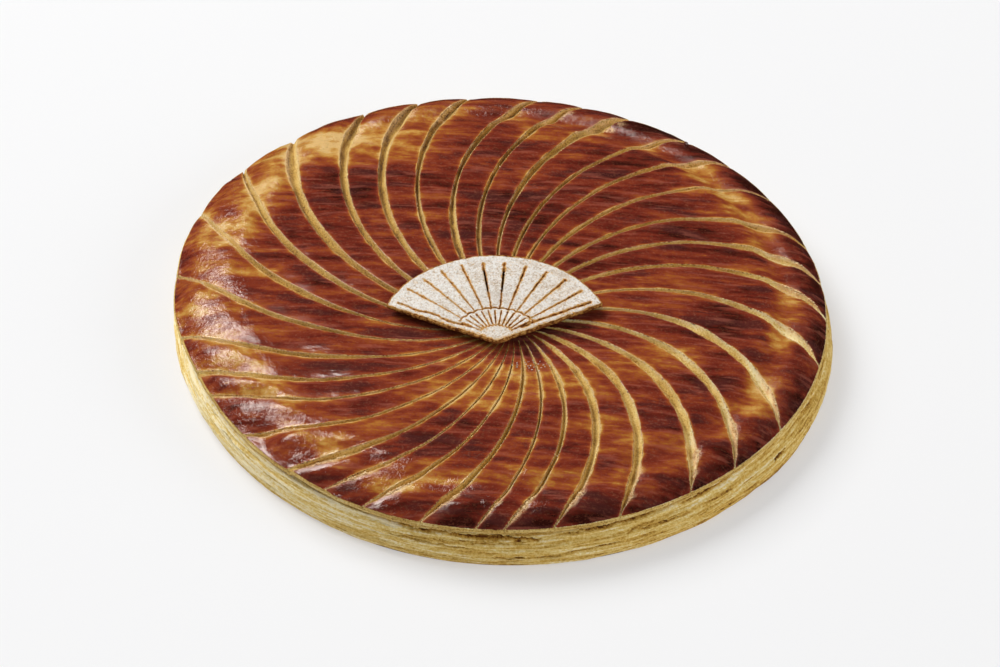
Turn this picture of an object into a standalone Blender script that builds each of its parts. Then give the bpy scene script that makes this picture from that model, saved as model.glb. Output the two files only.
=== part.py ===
"""Galette des rois: a round, filled puff-pastry cake with a sunburst of curved scores
cut into its glazed crust, and a flat fan-shaped biscuit lying on the middle.

Metres, +Z up. The origin is the middle of the flat underside. -Y is the front.
"""

import math

import bmesh
import bpy

# ---- Driving dimensions of the pastry -----------------------------------------------------
PASTRY_RADIUS = 0.130          # to the cut edge of the glazed crust
EDGE_HEIGHT = 0.0165           # from the underside to the cut edge
PLATEAU_HEIGHT = 0.0262        # crust over the filling, without the swelling between scores
SHOULDER_HEIGHT = 0.0238       # where the filling ends
VALLEY_HEIGHT = 0.0210         # pressed ring outside the filling
RIM_HEIGHT = 0.0215            # puffed rim outside the pressed ring
PLATEAU_FALL = 0.0006          # the plateau sinks this much towards the shoulder
VALLEY_RISE = 0.0010           # the pressed ring is this much shallower at the front
SIDE_SPREAD = 0.0036           # how far the flaky side bulges past the cut edge
SIDE_SPLIT = 0.0011            # depth of the split under the top sheet of pastry

# Where those heights are reached, as shares of the radius.
PLATEAU_END = 0.55
SHOULDER_PLACE = 0.80
VALLEY_PLACE = 0.88
RIM_PLACE = 0.945

# Unevenness around the pastry, as (waves per turn, cosine part, sine part).
OUTLINE_WAVES = ((3, 0.0044, 0.0071), (4, 0.0, -0.0030))      # shares of the radius
EDGE_WAVES = ((2, -0.0008, 0.0003),)                          # metres
SPREAD_WAVES = ((2, 0.0, -0.0014),)                           # metres
CRUST_WAVE = 0.0003                    # height of the slow swell over the whole crust, metres
CRUST_WAVE_TURNS = ((41.0, 23.0), (-31.0, 57.0))   # its two directions, radians per metre
WAVES_FADE = 0.9                       # share of the radius where the swell starts to die out
SPREAD_FADE = (0.86, 0.3)              # side heights between which its unevenness grows

# ---- Scores -------------------------------------------------------------------------------
SCORES = 32
SCORE_CENTRE = (0.0042, -0.0247)       # where the scores meet, in front of the middle
SCORE_TURN = math.radians(21.3)        # turn of the whole sunburst
SCORE_DRIFT = ((1, 6.3, 5.5), (2, 6.1, 2.8), (3, 1.2, 0.9))   # uneven spacing, degrees
# Each score bends clockwise on its way out: a cubic in the way from the centre to the edge.
SCORE_CURL = (-0.785, 0.121, -0.122)
CURL_WAVES = ((1, -0.054, -0.014), (2, -0.105, 0.071))        # uneven bend, radians
# How far each hand-cut score strays from the even sunburst at the edge, in millimetres.
SCORE_STRAY = (-5, 6, 3, -5, -9, -2, 0, 0, 5, 3, -1, 3, -1, -4, 1, -1,
               0, 6, 13, 6, -7, -6, 0, -2, -2, 6, 11, 1, -2, 0, 5, -3)
SCORE_HALF_WIDTH = 0.0016
SCORE_DEPTH = 0.0014
SWELL = 0.0007                         # how far the crust swells between two scores
HUB = 0.20                             # part of the way to the edge where the scores fade out
SCORE_RUN_OUT = 0.955                  # from here to the edge the scores become shallow
EDGE_SCORE_SHARE = 0.15                # what is left of their depth at the edge
WIDEST_HALF = 0.3                      # half a score takes up at most this share of the spacing

# ---- Fan-shaped biscuit -------------------------------------------------------------------
FAN_CENTRE = (-0.0013, -0.0374)        # where its ribs meet
FAN_RADIUS = 0.0482                    # from there to its round edge
FAN_BULGE = 0.0009                     # the round edge is a little fuller in the middle
FAN_SKEW = 0.0007                      # and fuller on the right than on the left
FAN_START = math.radians(29.6)         # direction of its right corner
FAN_END = math.radians(160.7)          # direction of its left corner
FAN_TIP_DROP = 0.0024                  # its point lies this far in front of the centre
FAN_THICKNESS = 0.0034
FAN_EDGE_ROUND = 0.0007
FAN_GAP = 0.0003                       # clear space between it and the highest crust
RIB_GROOVES = 10
RIB_FIRST = math.radians(42.9)         # direction of the first long groove
RIB_STEP = math.radians(11.3)
RIB_INNER = 0.0178
RIB_OUTER = 0.0444
RIB_GROOVE_RADIUS = 0.00055
HEAD_RADIUS = 0.0171                   # round groove that closes the head of the fan
HEAD_SPAN = (0.06, 0.92)               # its two ends, as shares of the fan's spread
HEAD_SLITS = 11
HEAD_SLIT_SPAN = (0.14, 0.86)
HEAD_SLIT_INNER = 0.0080
HEAD_SLIT_OUTER = 0.0160
HEAD_SLIT_RADIUS = 0.0003
BORDER_INSET = 0.0028                  # border grooves run this far inside the straight sides
BORDER_SPAN = (0.02, 0.72)             # their two ends, as shares of a straight side

# ---- Facets -------------------------------------------------------------------------------
COLUMNS_PER_SCORE = 4
TOP_RINGS = (0.08, 0.16, 0.24, 0.33, 0.42, 0.51, 0.60, 0.68, 0.75, 0.80, 0.84, 0.875,
             0.905, 0.935, 0.96, 0.98, 1.0)
ARC_POINTS = 29
HEAD_ARC_POINTS = 13

BEVEL_STEPS = 1
SHARP_FROM = math.radians(35)          # facets that meet at more than this look sharp
SAMPLE_STEP = 0.02                     # step used to measure the space between the scores
SMALLEST_SPACE = 0.001
WELD = 0.00002                         # doubled points closer than this become one

COLUMNS = SCORES * COLUMNS_PER_SCORE
TURN = 2.0 * math.pi


# ---- Small helpers ------------------------------------------------------------------------
def clear_scene():
    for thing in list(bpy.data.objects):
        bpy.data.objects.remove(thing, do_unlink=True)


def new_collection(name):
    group = bpy.data.collections.new(name)
    bpy.context.scene.collection.children.link(group)
    return group


def surface_material(name, colour, roughness):
    material = bpy.data.materials.new(name)
    material.use_nodes = True
    shader = material.node_tree.nodes["Principled BSDF"]
    shader.inputs["Base Color"].default_value = (*colour, 1.0)
    shader.inputs["Roughness"].default_value = roughness
    shader.inputs["Metallic"].default_value = 0.0
    material.diffuse_color = (*colour, 1.0)
    return material


def smoothstep(low, high, value):
    part = min(1.0, max(0.0, (value - low) / (high - low)))
    return part * part * (3.0 - 2.0 * part)


def along(points, where):
    """Height on a smooth line through a few (place, height) points."""
    for (left, low), (right, high) in zip(points, points[1:]):
        if where <= right:
            return low + (high - low) * smoothstep(left, right, where)
    return points[-1][1]


def mesh_object(name, mesh, group, material=None):
    piece = bpy.data.objects.new(name, mesh)
    group.objects.link(piece)
    if material is not None:
        mesh.materials.clear()
        mesh.materials.append(material)
    return piece


def evaluated_mesh(piece):
    """The piece's mesh with its modifiers and bevels applied; the piece itself goes."""
    bpy.context.view_layer.update()
    graph = bpy.context.evaluated_depsgraph_get()
    mesh = bpy.data.meshes.new_from_object(piece.evaluated_get(graph))
    bpy.data.objects.remove(piece, do_unlink=True)
    return mesh


# ---- The sunburst -------------------------------------------------------------------------
def waves(series, angle):
    """Sum of a few waves around the pastry."""
    return sum(cosine * math.cos(count * angle) + sine * math.sin(count * angle)
               for count, cosine, sine in series)


def stray(index):
    """Stray of the hand-cut scores as an angle, blended between neighbouring scores."""
    left = math.floor(index)
    share = index - left
    millimetres = (SCORE_STRAY[left % SCORES] * (1.0 - share)
                   + SCORE_STRAY[(left + 1) % SCORES] * share)
    return 0.001 * millimetres / PASTRY_RADIUS


def score_point(index, way):
    """Plan position on score `index`, `way` = 0 at the centre and 1 at the cut edge.

    Whole numbers are the scores themselves; the crust between them has numbers in between.
    """
    even = TURN * index / SCORES
    first, second, third = SCORE_CURL
    first += waves(CURL_WAVES, even)
    second += stray(index)
    heading = even + SCORE_TURN + math.radians(waves(SCORE_DRIFT, even))
    heading += way * (first + way * (second + way * third))
    x, y = math.cos(heading), math.sin(heading)
    behind = SCORE_CENTRE[0] * x + SCORE_CENTRE[1] * y
    centre_squared = SCORE_CENTRE[0] ** 2 + SCORE_CENTRE[1] ** 2
    reach = math.sqrt(behind ** 2 - centre_squared + PASTRY_RADIUS ** 2) - behind
    x = SCORE_CENTRE[0] + way * reach * x
    y = SCORE_CENTRE[1] + way * reach * y
    out = math.hypot(x, y) / PASTRY_RADIUS
    lobe = 1.0 + waves(OUTLINE_WAVES, math.atan2(y, x)) * out ** 2
    return x * lobe, y * lobe


def score_spacing(index, way):
    """Distance between neighbouring scores, measured square to them."""
    step = SAMPLE_STEP
    left, right = score_point(index - step, way), score_point(index + step, way)
    inner, outer = score_point(index, way - step), score_point(index, way + step)
    run_x, run_y = outer[0] - inner[0], outer[1] - inner[1]
    across_x, across_y = right[0] - left[0], right[1] - left[1]
    area = abs(run_x * across_y - run_y * across_x)
    return area / math.hypot(run_x, run_y) / (2.0 * step)


def score_index(column, way):
    """Score coordinate of a column: score floor, its edge, the crest between two, an edge."""
    score, place = divmod(column, COLUMNS_PER_SCORE)
    if place == 2:
        return score + 0.5
    if place == 0:
        return float(score)
    nearest = score if place == 1 else score + 1
    side = 1.0 if place == 1 else -1.0
    half = SCORE_HALF_WIDTH / max(score_spacing(nearest, max(way, HUB)), SMALLEST_SPACE)
    return nearest + side * min(half, WIDEST_HALF)


# ---- Crust --------------------------------------------------------------------------------
def crust_height(x, y):
    """Height of the crust without its scores."""
    out = math.hypot(x, y) / PASTRY_RADIUS
    angle = math.atan2(y, x)
    out /= 1.0 + waves(OUTLINE_WAVES, angle)
    front_share = (1.0 - math.sin(angle)) / 2.0
    profile = (
        (0.0, PLATEAU_HEIGHT),
        (PLATEAU_END, PLATEAU_HEIGHT - PLATEAU_FALL),
        (SHOULDER_PLACE, SHOULDER_HEIGHT),
        (VALLEY_PLACE, VALLEY_HEIGHT + VALLEY_RISE * front_share ** 2),
        (RIM_PLACE, RIM_HEIGHT),
        (1.0, EDGE_HEIGHT + waves(EDGE_WAVES, angle)),
    )
    (first_x, first_y), (second_x, second_y) = CRUST_WAVE_TURNS
    swell = math.cos(first_x * x + first_y * y) + math.sin(second_x * x + second_y * y)
    return along(profile, out) + CRUST_WAVE * swell * (1.0 - smoothstep(WAVES_FADE, 1.0, out))


def top_point(column, way):
    """A point of the scored crust."""
    place = column % COLUMNS_PER_SCORE
    x, y = score_point(score_index(column, way), way)
    height = crust_height(x, y)
    run_out = (1.0 - EDGE_SCORE_SHARE) * smoothstep(SCORE_RUN_OUT, 1.0, way)
    strength = smoothstep(HUB, 2.0 * HUB, way) * (1.0 - run_out)
    if place == 0:
        height -= SCORE_DEPTH * strength
    elif place == 2:
        height += SWELL * strength
    return x, y, height


SIDE_PROFILE = (
    # share of the edge height, how far the side stands out
    (0.86, 0.0005),
    (0.80, -SIDE_SPLIT),
    (0.72, 0.0009),
    (0.52, 0.75 * SIDE_SPREAD),
    (0.30, SIDE_SPREAD),
    (0.10, 0.85 * SIDE_SPREAD),
    (0.0, 0.50 * SIDE_SPREAD),
)


def side_point(column, share, outward):
    """A point of the flaky side, below the cut edge at the same column."""
    x, y, edge = top_point(column, 1.0)
    radius = math.hypot(x, y)
    angle = math.atan2(y, x)
    uneven = waves(SPREAD_WAVES, angle) * smoothstep(*SPREAD_FADE, share)
    grown = (radius + outward + uneven) / radius
    return x * grown, y * grown, edge * share


def turned_blank(group):
    """A plain turned puck whose rings and columns the crust and side are formed from."""
    rings = [(0.0, 1.0)] + [(way, 1.0) for way in TOP_RINGS]
    rings += [(1.0, share) for share, _ in SIDE_PROFILE]
    rings.append((0.0, 0.0))
    mesh = bpy.data.meshes.new("galette_profile")
    points = [(way, 0.0, level) for way, level in rings]
    mesh.from_pydata(points, [(i, i + 1) for i in range(len(points) - 1)], [])
    blank = mesh_object("galette_blank", mesh, group)
    screw = blank.modifiers.new("turn", "SCREW")
    screw.axis = "Z"
    screw.angle = TURN
    screw.steps = COLUMNS
    screw.render_steps = COLUMNS
    screw.use_merge_vertices = True
    screw.merge_threshold = WELD
    return evaluated_mesh(blank)


def build_galette(group):
    mesh = turned_blank(group)
    side = dict(SIDE_PROFILE)
    for vertex in mesh.vertices:
        x, y, level = vertex.co
        way = math.hypot(x, y)
        column = round(math.atan2(y, x) / TURN * COLUMNS) % COLUMNS
        on_top = level > (1.0 + SIDE_PROFILE[0][0]) / 2.0
        if on_top:
            vertex.co = top_point(column, way)
        elif way < TOP_RINGS[0]:
            vertex.co = (0.0, 0.0, 0.0)
        else:
            share = min(side, key=lambda known: abs(known - level))
            vertex.co = side_point(column, share, side[share])
    mesh.name = "galette"
    crust = surface_material("glazed_crust", (0.30, 0.085, 0.025), 0.22)
    piece = mesh_object("galette", mesh, group, crust)
    mesh.shade_smooth()
    mesh.set_sharp_from_angle(angle=SHARP_FROM)
    return piece


# ---- Fan-shaped biscuit -------------------------------------------------------------------
def fan_point(radius, angle):
    return (FAN_CENTRE[0] + radius * math.cos(angle), FAN_CENTRE[1] + radius * math.sin(angle))


def fan_angle(share):
    """Direction at a share of the spread, from the right corner to the left one."""
    return FAN_START + (FAN_END - FAN_START) * share


def fan_tip():
    return FAN_CENTRE[0], FAN_CENTRE[1] - FAN_TIP_DROP


def fan_outline():
    """Round edge from the right corner to the left one, and then the point in front."""
    points = []
    for i in range(ARC_POINTS):
        share = i / (ARC_POINTS - 1)
        bulge = FAN_BULGE * (2.0 * math.sin(math.pi * share) - 1.0)
        skew = FAN_SKEW * math.sin(TURN * share)
        points.append(fan_point(FAN_RADIUS + bulge + skew, fan_angle(share)))
    points.append(fan_tip())
    return points


def curve_piece(name, group, points, height, closed):
    curve = bpy.data.curves.new(name, "CURVE")
    spline = curve.splines.new("POLY")
    spline.points.add(len(points) - 1)
    for point, (x, y) in zip(spline.points, points):
        point.co = (x, y, height, 1.0)
    spline.use_cyclic_u = closed
    piece = bpy.data.objects.new(name, curve)
    group.objects.link(piece)
    return piece


def fan_blank(group, bottom):
    outline = curve_piece("fan_outline", group, fan_outline(), 0.0, True)
    curve = outline.data
    curve.dimensions = "2D"
    curve.fill_mode = "BOTH"
    curve.extrude = FAN_THICKNESS / 2.0 - FAN_EDGE_ROUND
    curve.bevel_depth = FAN_EDGE_ROUND
    curve.bevel_resolution = BEVEL_STEPS
    curve.offset = -FAN_EDGE_ROUND
    mesh = welded(evaluated_mesh(outline))
    for vertex in mesh.vertices:
        vertex.co.z += bottom + FAN_THICKNESS / 2.0
    return mesh


def welded(mesh):
    shape = bmesh.new()
    shape.from_mesh(mesh)
    bmesh.ops.remove_doubles(shape, verts=shape.verts, dist=WELD)
    bmesh.ops.recalc_face_normals(shape, faces=shape.faces)
    shape.to_mesh(mesh)
    shape.free()
    return mesh


def groove_cutter(name, group, points, height, radius):
    """A round-bottomed groove along a line on the top of the biscuit."""
    route = curve_piece(name + "_route", group, points, height, False)
    curve = route.data
    curve.dimensions = "3D"
    curve.bevel_depth = radius
    curve.bevel_resolution = 0
    curve.use_fill_caps = True
    mesh = welded(evaluated_mesh(route))
    mesh.name = name
    cutter = mesh_object(name, mesh, group)
    cutter.hide_render = True
    cutter.display_type = "WIRE"
    return cutter


def border_line(corner_angle, inward):
    """A line inside one straight side of the biscuit, from near the corner to near the tip."""
    corner = fan_point(RIB_OUTER, corner_angle)
    tip = fan_tip()
    run_x, run_y = tip[0] - corner[0], tip[1] - corner[1]
    length = math.hypot(run_x, run_y)
    start_x = corner[0] - run_y / length * inward
    start_y = corner[1] + run_x / length * inward
    return [(start_x + run_x * share, start_y + run_y * share) for share in BORDER_SPAN]


def cut_fan_grooves(group, top):
    """Cutters for the long rib grooves, the two borders, the head's ring and its slits."""
    for number in range(RIB_GROOVES):
        angle = RIB_FIRST + number * RIB_STEP
        line = [fan_point(RIB_INNER, angle), fan_point(RIB_OUTER, angle)]
        groove_cutter(f"rib_groove_{number}", group, line, top, RIB_GROOVE_RADIUS)
    right, left = border_line(FAN_START, -BORDER_INSET), border_line(FAN_END, BORDER_INSET)
    groove_cutter("border_groove_right", group, right, top, RIB_GROOVE_RADIUS)
    groove_cutter("border_groove_left", group, left, top, RIB_GROOVE_RADIUS)
    ring = []
    for i in range(HEAD_ARC_POINTS):
        share = HEAD_SPAN[0] + (HEAD_SPAN[1] - HEAD_SPAN[0]) * i / (HEAD_ARC_POINTS - 1)
        ring.append(fan_point(HEAD_RADIUS, fan_angle(share)))
    groove_cutter("head_groove", group, ring, top, RIB_GROOVE_RADIUS)
    for number in range(HEAD_SLITS):
        part = number / (HEAD_SLITS - 1)
        angle = fan_angle(HEAD_SLIT_SPAN[0] + (HEAD_SLIT_SPAN[1] - HEAD_SLIT_SPAN[0]) * part)
        line = [fan_point(HEAD_SLIT_INNER, angle), fan_point(HEAD_SLIT_OUTER, angle)]
        groove_cutter(f"head_slit_{number}", group, line, top, HEAD_SLIT_RADIUS)


def build_fan(group, cutters, crust_top):
    bottom = crust_top + FAN_GAP
    biscuit = surface_material("sugared_biscuit", (0.72, 0.62, 0.48), 0.85)
    piece = mesh_object("fan_biscuit", fan_blank(group, bottom), group, biscuit)
    cut_fan_grooves(cutters, bottom + FAN_THICKNESS)
    grooves = piece.modifiers.new("grooves", "BOOLEAN")
    grooves.operation = "DIFFERENCE"
    grooves.operand_type = "COLLECTION"
    grooves.collection = cutters
    grooves.solver = "EXACT"
    return piece


def main():
    clear_scene()
    parts = new_collection("galette_des_rois")
    cutters = new_collection("fan_biscuit_cutters")
    galette = build_galette(parts)
    crust_top = max(vertex.co.z for vertex in galette.data.vertices)
    build_fan(parts, cutters, crust_top)


main()
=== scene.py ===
"""Looks of the galette des rois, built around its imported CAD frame.

Four main pieces: the glazed crust with its sunburst of scores, the flaky pastry under it,
the sugared fan-shaped biscuit, and the crumbs and icing sugar that lie on them.
Metres, +Z up, in the CAD's own frame: the origin is the middle of the underside and -Y
is the front. The constants shared with the CAD source keep its names.
"""

import math

import bpy
import numpy as np
from mathutils import Matrix, Vector


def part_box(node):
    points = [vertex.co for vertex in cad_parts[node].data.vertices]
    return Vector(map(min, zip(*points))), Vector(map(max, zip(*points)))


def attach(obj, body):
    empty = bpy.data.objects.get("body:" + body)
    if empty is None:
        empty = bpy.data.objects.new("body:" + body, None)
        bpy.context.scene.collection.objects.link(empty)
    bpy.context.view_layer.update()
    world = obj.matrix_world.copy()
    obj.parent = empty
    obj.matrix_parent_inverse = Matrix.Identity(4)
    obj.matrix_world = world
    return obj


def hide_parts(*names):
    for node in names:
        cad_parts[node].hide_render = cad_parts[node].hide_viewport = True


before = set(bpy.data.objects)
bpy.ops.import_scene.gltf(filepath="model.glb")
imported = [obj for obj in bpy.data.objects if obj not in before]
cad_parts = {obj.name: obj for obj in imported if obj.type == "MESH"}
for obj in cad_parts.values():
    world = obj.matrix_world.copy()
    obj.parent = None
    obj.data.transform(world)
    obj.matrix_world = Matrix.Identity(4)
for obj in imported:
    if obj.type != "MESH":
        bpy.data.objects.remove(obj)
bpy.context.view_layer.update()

MM = 0.001
TURN = 2.0 * math.pi

# ---- Shared with the CAD source -----------------------------------------------------------
PASTRY_RADIUS = 0.130
EDGE_HEIGHT = 0.0165
PLATEAU_HEIGHT = 0.0262
SHOULDER_HEIGHT = 0.0238
VALLEY_HEIGHT = 0.0210
RIM_HEIGHT = 0.0215
SIDE_SPREAD = 0.0036
OUTLINE_WAVES = ((3, 0.0044, 0.0071), (4, 0.0, -0.0030))
EDGE_WAVES = ((2, -0.0008, 0.0003),)
SPREAD_WAVES = ((2, 0.0, -0.0014),)
SCORES = 32
SCORE_CENTRE = (0.0042, -0.0247)
SCORE_TURN = math.radians(21.3)
SCORE_DRIFT = ((1, 6.3, 5.5), (2, 6.1, 2.8), (3, 1.2, 0.9))
SCORE_CURL = (-0.785, 0.121, -0.122)
CURL_WAVES = ((1, -0.054, -0.014), (2, -0.105, 0.071))
SCORE_STRAY = np.array((-5, 6, 3, -5, -9, -2, 0, 0, 5, 3, -1, 3, -1, -4, 1, -1,
                        0, 6, 13, 6, -7, -6, 0, -2, -2, 6, 11, 1, -2, 0, 5, -3), float)
FAN_CENTRE = (-0.0013, -0.0374)
FAN_RADIUS = 0.0482
FAN_BULGE = 0.0009
FAN_SKEW = 0.0007
FAN_START = math.radians(29.6)
FAN_END = math.radians(160.7)
FAN_TIP_DROP = 0.0024
RIB_GROOVES = 10
RIB_FIRST = math.radians(42.9)
RIB_STEP = math.radians(11.3)
RIB_INNER = 0.0178
RIB_OUTER = 0.0444
HEAD_RADIUS = 0.0171
HEAD_SPAN = (0.06, 0.92)
HEAD_SLITS = 11
HEAD_SLIT_SPAN = (0.14, 0.86)
HEAD_SLIT_INNER = 0.0080
HEAD_SLIT_OUTER = 0.0160
BORDER_INSET = 0.0028
BORDER_SPAN = (0.02, 0.72)

fan_low, fan_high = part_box("fan_biscuit")
FAN_BOTTOM, FAN_TOP = fan_low.z, fan_high.z

# ---- Each hand-cut score, counter-clockwise from the right --------------------------------
# Full width in tenths of a millimetre near the middle, two thirds of the way out, at the
# leaf-shaped opening near its end, and where it meets the cut edge.
INNER_WIDTH = np.array((13, 7, 18, 19, 15, 18, 11, 16, 13, 18, 27, 19, 24, 20, 19, 15,
                        5, 6, 6, 6, 7, 5, 6, 6, 6, 14, 9, 19, 27, 31, 24, 21), float)
MID_WIDTH = np.array((43, 20, 15, 14, 13, 14, 13, 14, 25, 13, 15, 14, 28, 25, 34, 31,
                      29, 20, 20, 12, 9, 10, 12, 6, 8, 15, 8, 15, 30, 36, 36, 36), float)
LEAF_WIDTH = np.array((40, 48, 40, 44, 32, 10, 34, 22, 58, 34, 37, 42, 50, 48, 52, 28,
                       26, 28, 26, 34, 18, 26, 42, 20, 28, 30, 10, 12, 20, 32, 40, 32), float)
END_WIDTH = np.array((3, 5, 8, 8, 10, 8, 12, 25, 16, 16, 16, 20, 20, 18, 24, 14,
                      12, 10, 14, 24, 8, 8, 20, 3, 3, 3, 3, 3, 3, 3, 3, 3), float)
# How dark the slit at the bottom of the score is near the fan, in tenths.
# That darkness is painted shade, drawn only in colour along the score's bottom.
SLIT_SHADE = np.array((2, 3, 4, 3, 5, 6, 10, 6, 3, 3, 4, 2, 2, 3, 3, 3,
                 4, 3, 3, 2, 3, 3, 4, 4, 6, 3, 4, 3, 3, 3, 3, 2), float)
# How creamy the torn dough is in the opening, in tenths.
CREAM = np.array((9, 9, 8, 6, 3, 3, 4, 3, 3, 3, 2, 2, 2, 2, 4, 4,
                  5, 6, 5, 6, 4, 2, 2, 3, 3, 2, 2, 3, 4, 4, 7, 8), float)


# ---- Small helpers ------------------------------------------------------------------------
def ease(low, high, value):
    part = np.clip((value - low) / (high - low), 0.0, 1.0)
    return part * part * (3.0 - 2.0 * part)


def along(points, where):
    """Smooth line through a few (place, value) points; values may be arrays."""
    result = points[0][1] + 0.0 * where
    for (left, low), (right, high) in zip(points, points[1:]):
        result = result + (high - low) * ease(left, right, where)
    return result


def bell(where, low, middle, high):
    """Rises smoothly from 0 at low to 1 in the middle and falls to 0 at high."""
    return ease(low, middle, where) * (1.0 - ease(middle, high, where))


def waves(series, angle):
    return sum(c * np.cos(n * angle) + s * np.sin(n * angle) for n, c, s in series)


LATTICE = 256
_lattices = {}


def noise(x, y, seed):
    """Smooth random field in -1..1 with features one unit across."""
    if seed not in _lattices:
        _lattices[seed] = np.random.default_rng(seed).uniform(-1.0, 1.0, (LATTICE, LATTICE))
    table = _lattices[seed]
    x, y = np.broadcast_arrays(np.asarray(x, float), np.asarray(y, float))
    left, low = np.floor(x).astype(int), np.floor(y).astype(int)
    u, v = x - left, y - low
    u, v = u * u * (3.0 - 2.0 * u), v * v * (3.0 - 2.0 * v)
    left, low = left % LATTICE, low % LATTICE
    right, high = (left + 1) % LATTICE, (low + 1) % LATTICE
    return ((table[left, low] * (1 - u) + table[right, low] * u) * (1 - v)
            + (table[left, high] * (1 - u) + table[right, high] * u) * v)


def layered_noise(x, y, seed, layers=3):
    total = 0.0
    for k in range(layers):
        total = total + noise(x * 2 ** k + 17.3 * k, y * 2 ** k - 9.1 * k, seed + k) / 2 ** k
    return total / 1.6


def grid_faces(rows, columns, start=0, wrap=True):
    """Quads between rows of vertices, each row `columns` long, closed round if wrap."""
    last = columns if wrap else columns - 1
    i = np.arange(rows - 1)[:, None]
    j = np.arange(last)[None, :]
    k = (j + 1) % columns
    quads = np.stack([i * columns + j, (i + 1) * columns + j,
                      (i + 1) * columns + k, i * columns + k], -1) + start
    return quads.reshape(-1, 4)


def build_mesh(name, vertices, quads, triangles=(), attributes=None):
    """Mesh object from arrays, with float attributes on its points."""
    mesh = bpy.data.meshes.new(name)
    quads = np.asarray(quads, np.int32).reshape(-1, 4)
    triangles = np.asarray(triangles, np.int32).reshape(-1, 3)
    loops = np.concatenate([quads.ravel(), triangles.ravel()])
    starts = np.concatenate([np.arange(len(quads)) * 4,
                             len(quads) * 4 + np.arange(len(triangles)) * 3])
    mesh.vertices.add(len(vertices))
    mesh.vertices.foreach_set("co", np.asarray(vertices, np.float32).ravel())
    mesh.loops.add(len(loops))
    mesh.loops.foreach_set("vertex_index", loops.astype(np.int32))
    mesh.polygons.add(len(starts))
    mesh.polygons.foreach_set("loop_start", starts.astype(np.int32))
    mesh.update(calc_edges=True)
    mesh.validate()
    for key, values in (attributes or {}).items():
        layer = mesh.attributes.new(key, "FLOAT", "POINT")
        layer.data.foreach_set("value", np.asarray(values, np.float32).ravel())
    mesh.shade_smooth()
    piece = bpy.data.objects.new(name, mesh)
    bpy.context.scene.collection.objects.link(piece)
    return piece


def vertex_places(piece):
    places = np.zeros(len(piece.data.vertices) * 3, np.float32)
    piece.data.vertices.foreach_get("co", places)
    return places.reshape(-1, 3).astype(float)


def attribute_values(piece, key):
    values = np.zeros(len(piece.data.vertices), np.float32)
    piece.data.attributes[key].data.foreach_get("value", values)
    return values


def add_map(piece, columns, kinds, flats, strips):
    """Map for baking: flat parts as seen from above, walls unrolled in strips.

    kinds gives each row of faces its place in flats, or -1 for a wall. flats holds the middle
    and the scale of each flat part; strips the number, the lowest edge and the height.
    """
    mesh = piece.data
    vertex = np.zeros(len(mesh.loops), np.int32)
    mesh.loops.foreach_get("vertex_index", vertex)
    rows = len(kinds)
    face_row = np.concatenate([np.repeat(np.arange(rows), 4 * columns), np.zeros(3 * columns, int),
                               np.full(3 * columns, rows - 1)])
    kind = np.array(kinds)[face_row]
    places = vertex_places(piece)[vertex]
    spots = np.zeros((len(vertex), 2))
    for number, (u, v, scale) in enumerate(flats):
        flat = kind == number
        spots[flat] = places[flat, :2] * scale + (u, v)
    wall = kind < 0
    row, column = np.divmod(vertex - 1, columns)
    first = np.tile(np.repeat(np.arange(columns), 4), rows)
    first = np.concatenate([first, np.zeros(6 * columns, int)])
    column = np.where((column == 0) & (first == columns - 1), columns, column)
    count, lowest, height = strips
    strip = first * count // columns
    down = (row - kinds.index(-1)) / kinds.count(-1)
    spots[wall, 0] = 0.01 + 0.98 * (column * count / columns - strip)[wall]
    spots[wall, 1] = lowest + height * (strip + 0.05 + 0.9 * down)[wall]
    layer = mesh.uv_layers.new(name="OFBake")
    layer.data.foreach_set("uv", spots.astype(np.float32).ravel())


# ---- Shape of the crust without its scores, as in the CAD ---------------------------------
def crust_height(x, y):
    out = np.hypot(x, y) / PASTRY_RADIUS
    angle = np.arctan2(y, x)
    out = out / (1.0 + waves(OUTLINE_WAVES, angle))
    front = 0.5 - 0.5 * np.sin(angle)
    profile = (
        (0.0, PLATEAU_HEIGHT),
        (0.55, PLATEAU_HEIGHT - 0.0006),
        (0.80, SHOULDER_HEIGHT),
        (0.88, VALLEY_HEIGHT + 0.0010 * front ** 2),
        (0.945, RIM_HEIGHT),
        (1.0, EDGE_HEIGHT + waves(EDGE_WAVES, angle)),
    )
    wave = 0.0003 * (np.cos(41.0 * x + 23.0 * y) + np.sin(57.0 * y - 31.0 * x))
    return along(profile, out) + wave * (1.0 - ease(0.9, 1.0, out))


def score_point(index, way):
    even = TURN * index / SCORES
    left = np.floor(index).astype(int)
    share = index - left
    stray = 0.001 * (SCORE_STRAY[left % SCORES] * (1.0 - share)
                     + SCORE_STRAY[(left + 1) % SCORES] * share) / PASTRY_RADIUS
    first, second, third = SCORE_CURL
    heading = even + SCORE_TURN + np.radians(waves(SCORE_DRIFT, even))
    heading = heading + way * (first + waves(CURL_WAVES, even)
                               + way * (second + stray + way * third))
    x, y = np.cos(heading), np.sin(heading)
    behind = SCORE_CENTRE[0] * x + SCORE_CENTRE[1] * y
    centre_squared = SCORE_CENTRE[0] ** 2 + SCORE_CENTRE[1] ** 2
    reach = np.sqrt(behind ** 2 - centre_squared + PASTRY_RADIUS ** 2) - behind
    x = SCORE_CENTRE[0] + way * reach * x
    y = SCORE_CENTRE[1] + way * reach * y
    out = np.hypot(x, y) / PASTRY_RADIUS
    lobe = 1.0 + waves(OUTLINE_WAVES, np.arctan2(y, x)) * out ** 2
    return x * lobe, y * lobe


def score_spacing(index, way):
    step = 0.02
    left, right = score_point(index - step, way), score_point(index + step, way)
    inner, outer = score_point(index, way - step), score_point(index, way + step)
    run_x, run_y = outer[0] - inner[0], outer[1] - inner[1]
    across_x, across_y = right[0] - left[0], right[1] - left[1]
    area = np.abs(run_x * across_y - run_y * across_x)
    return area / np.hypot(run_x, run_y) / (2.0 * step)


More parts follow.
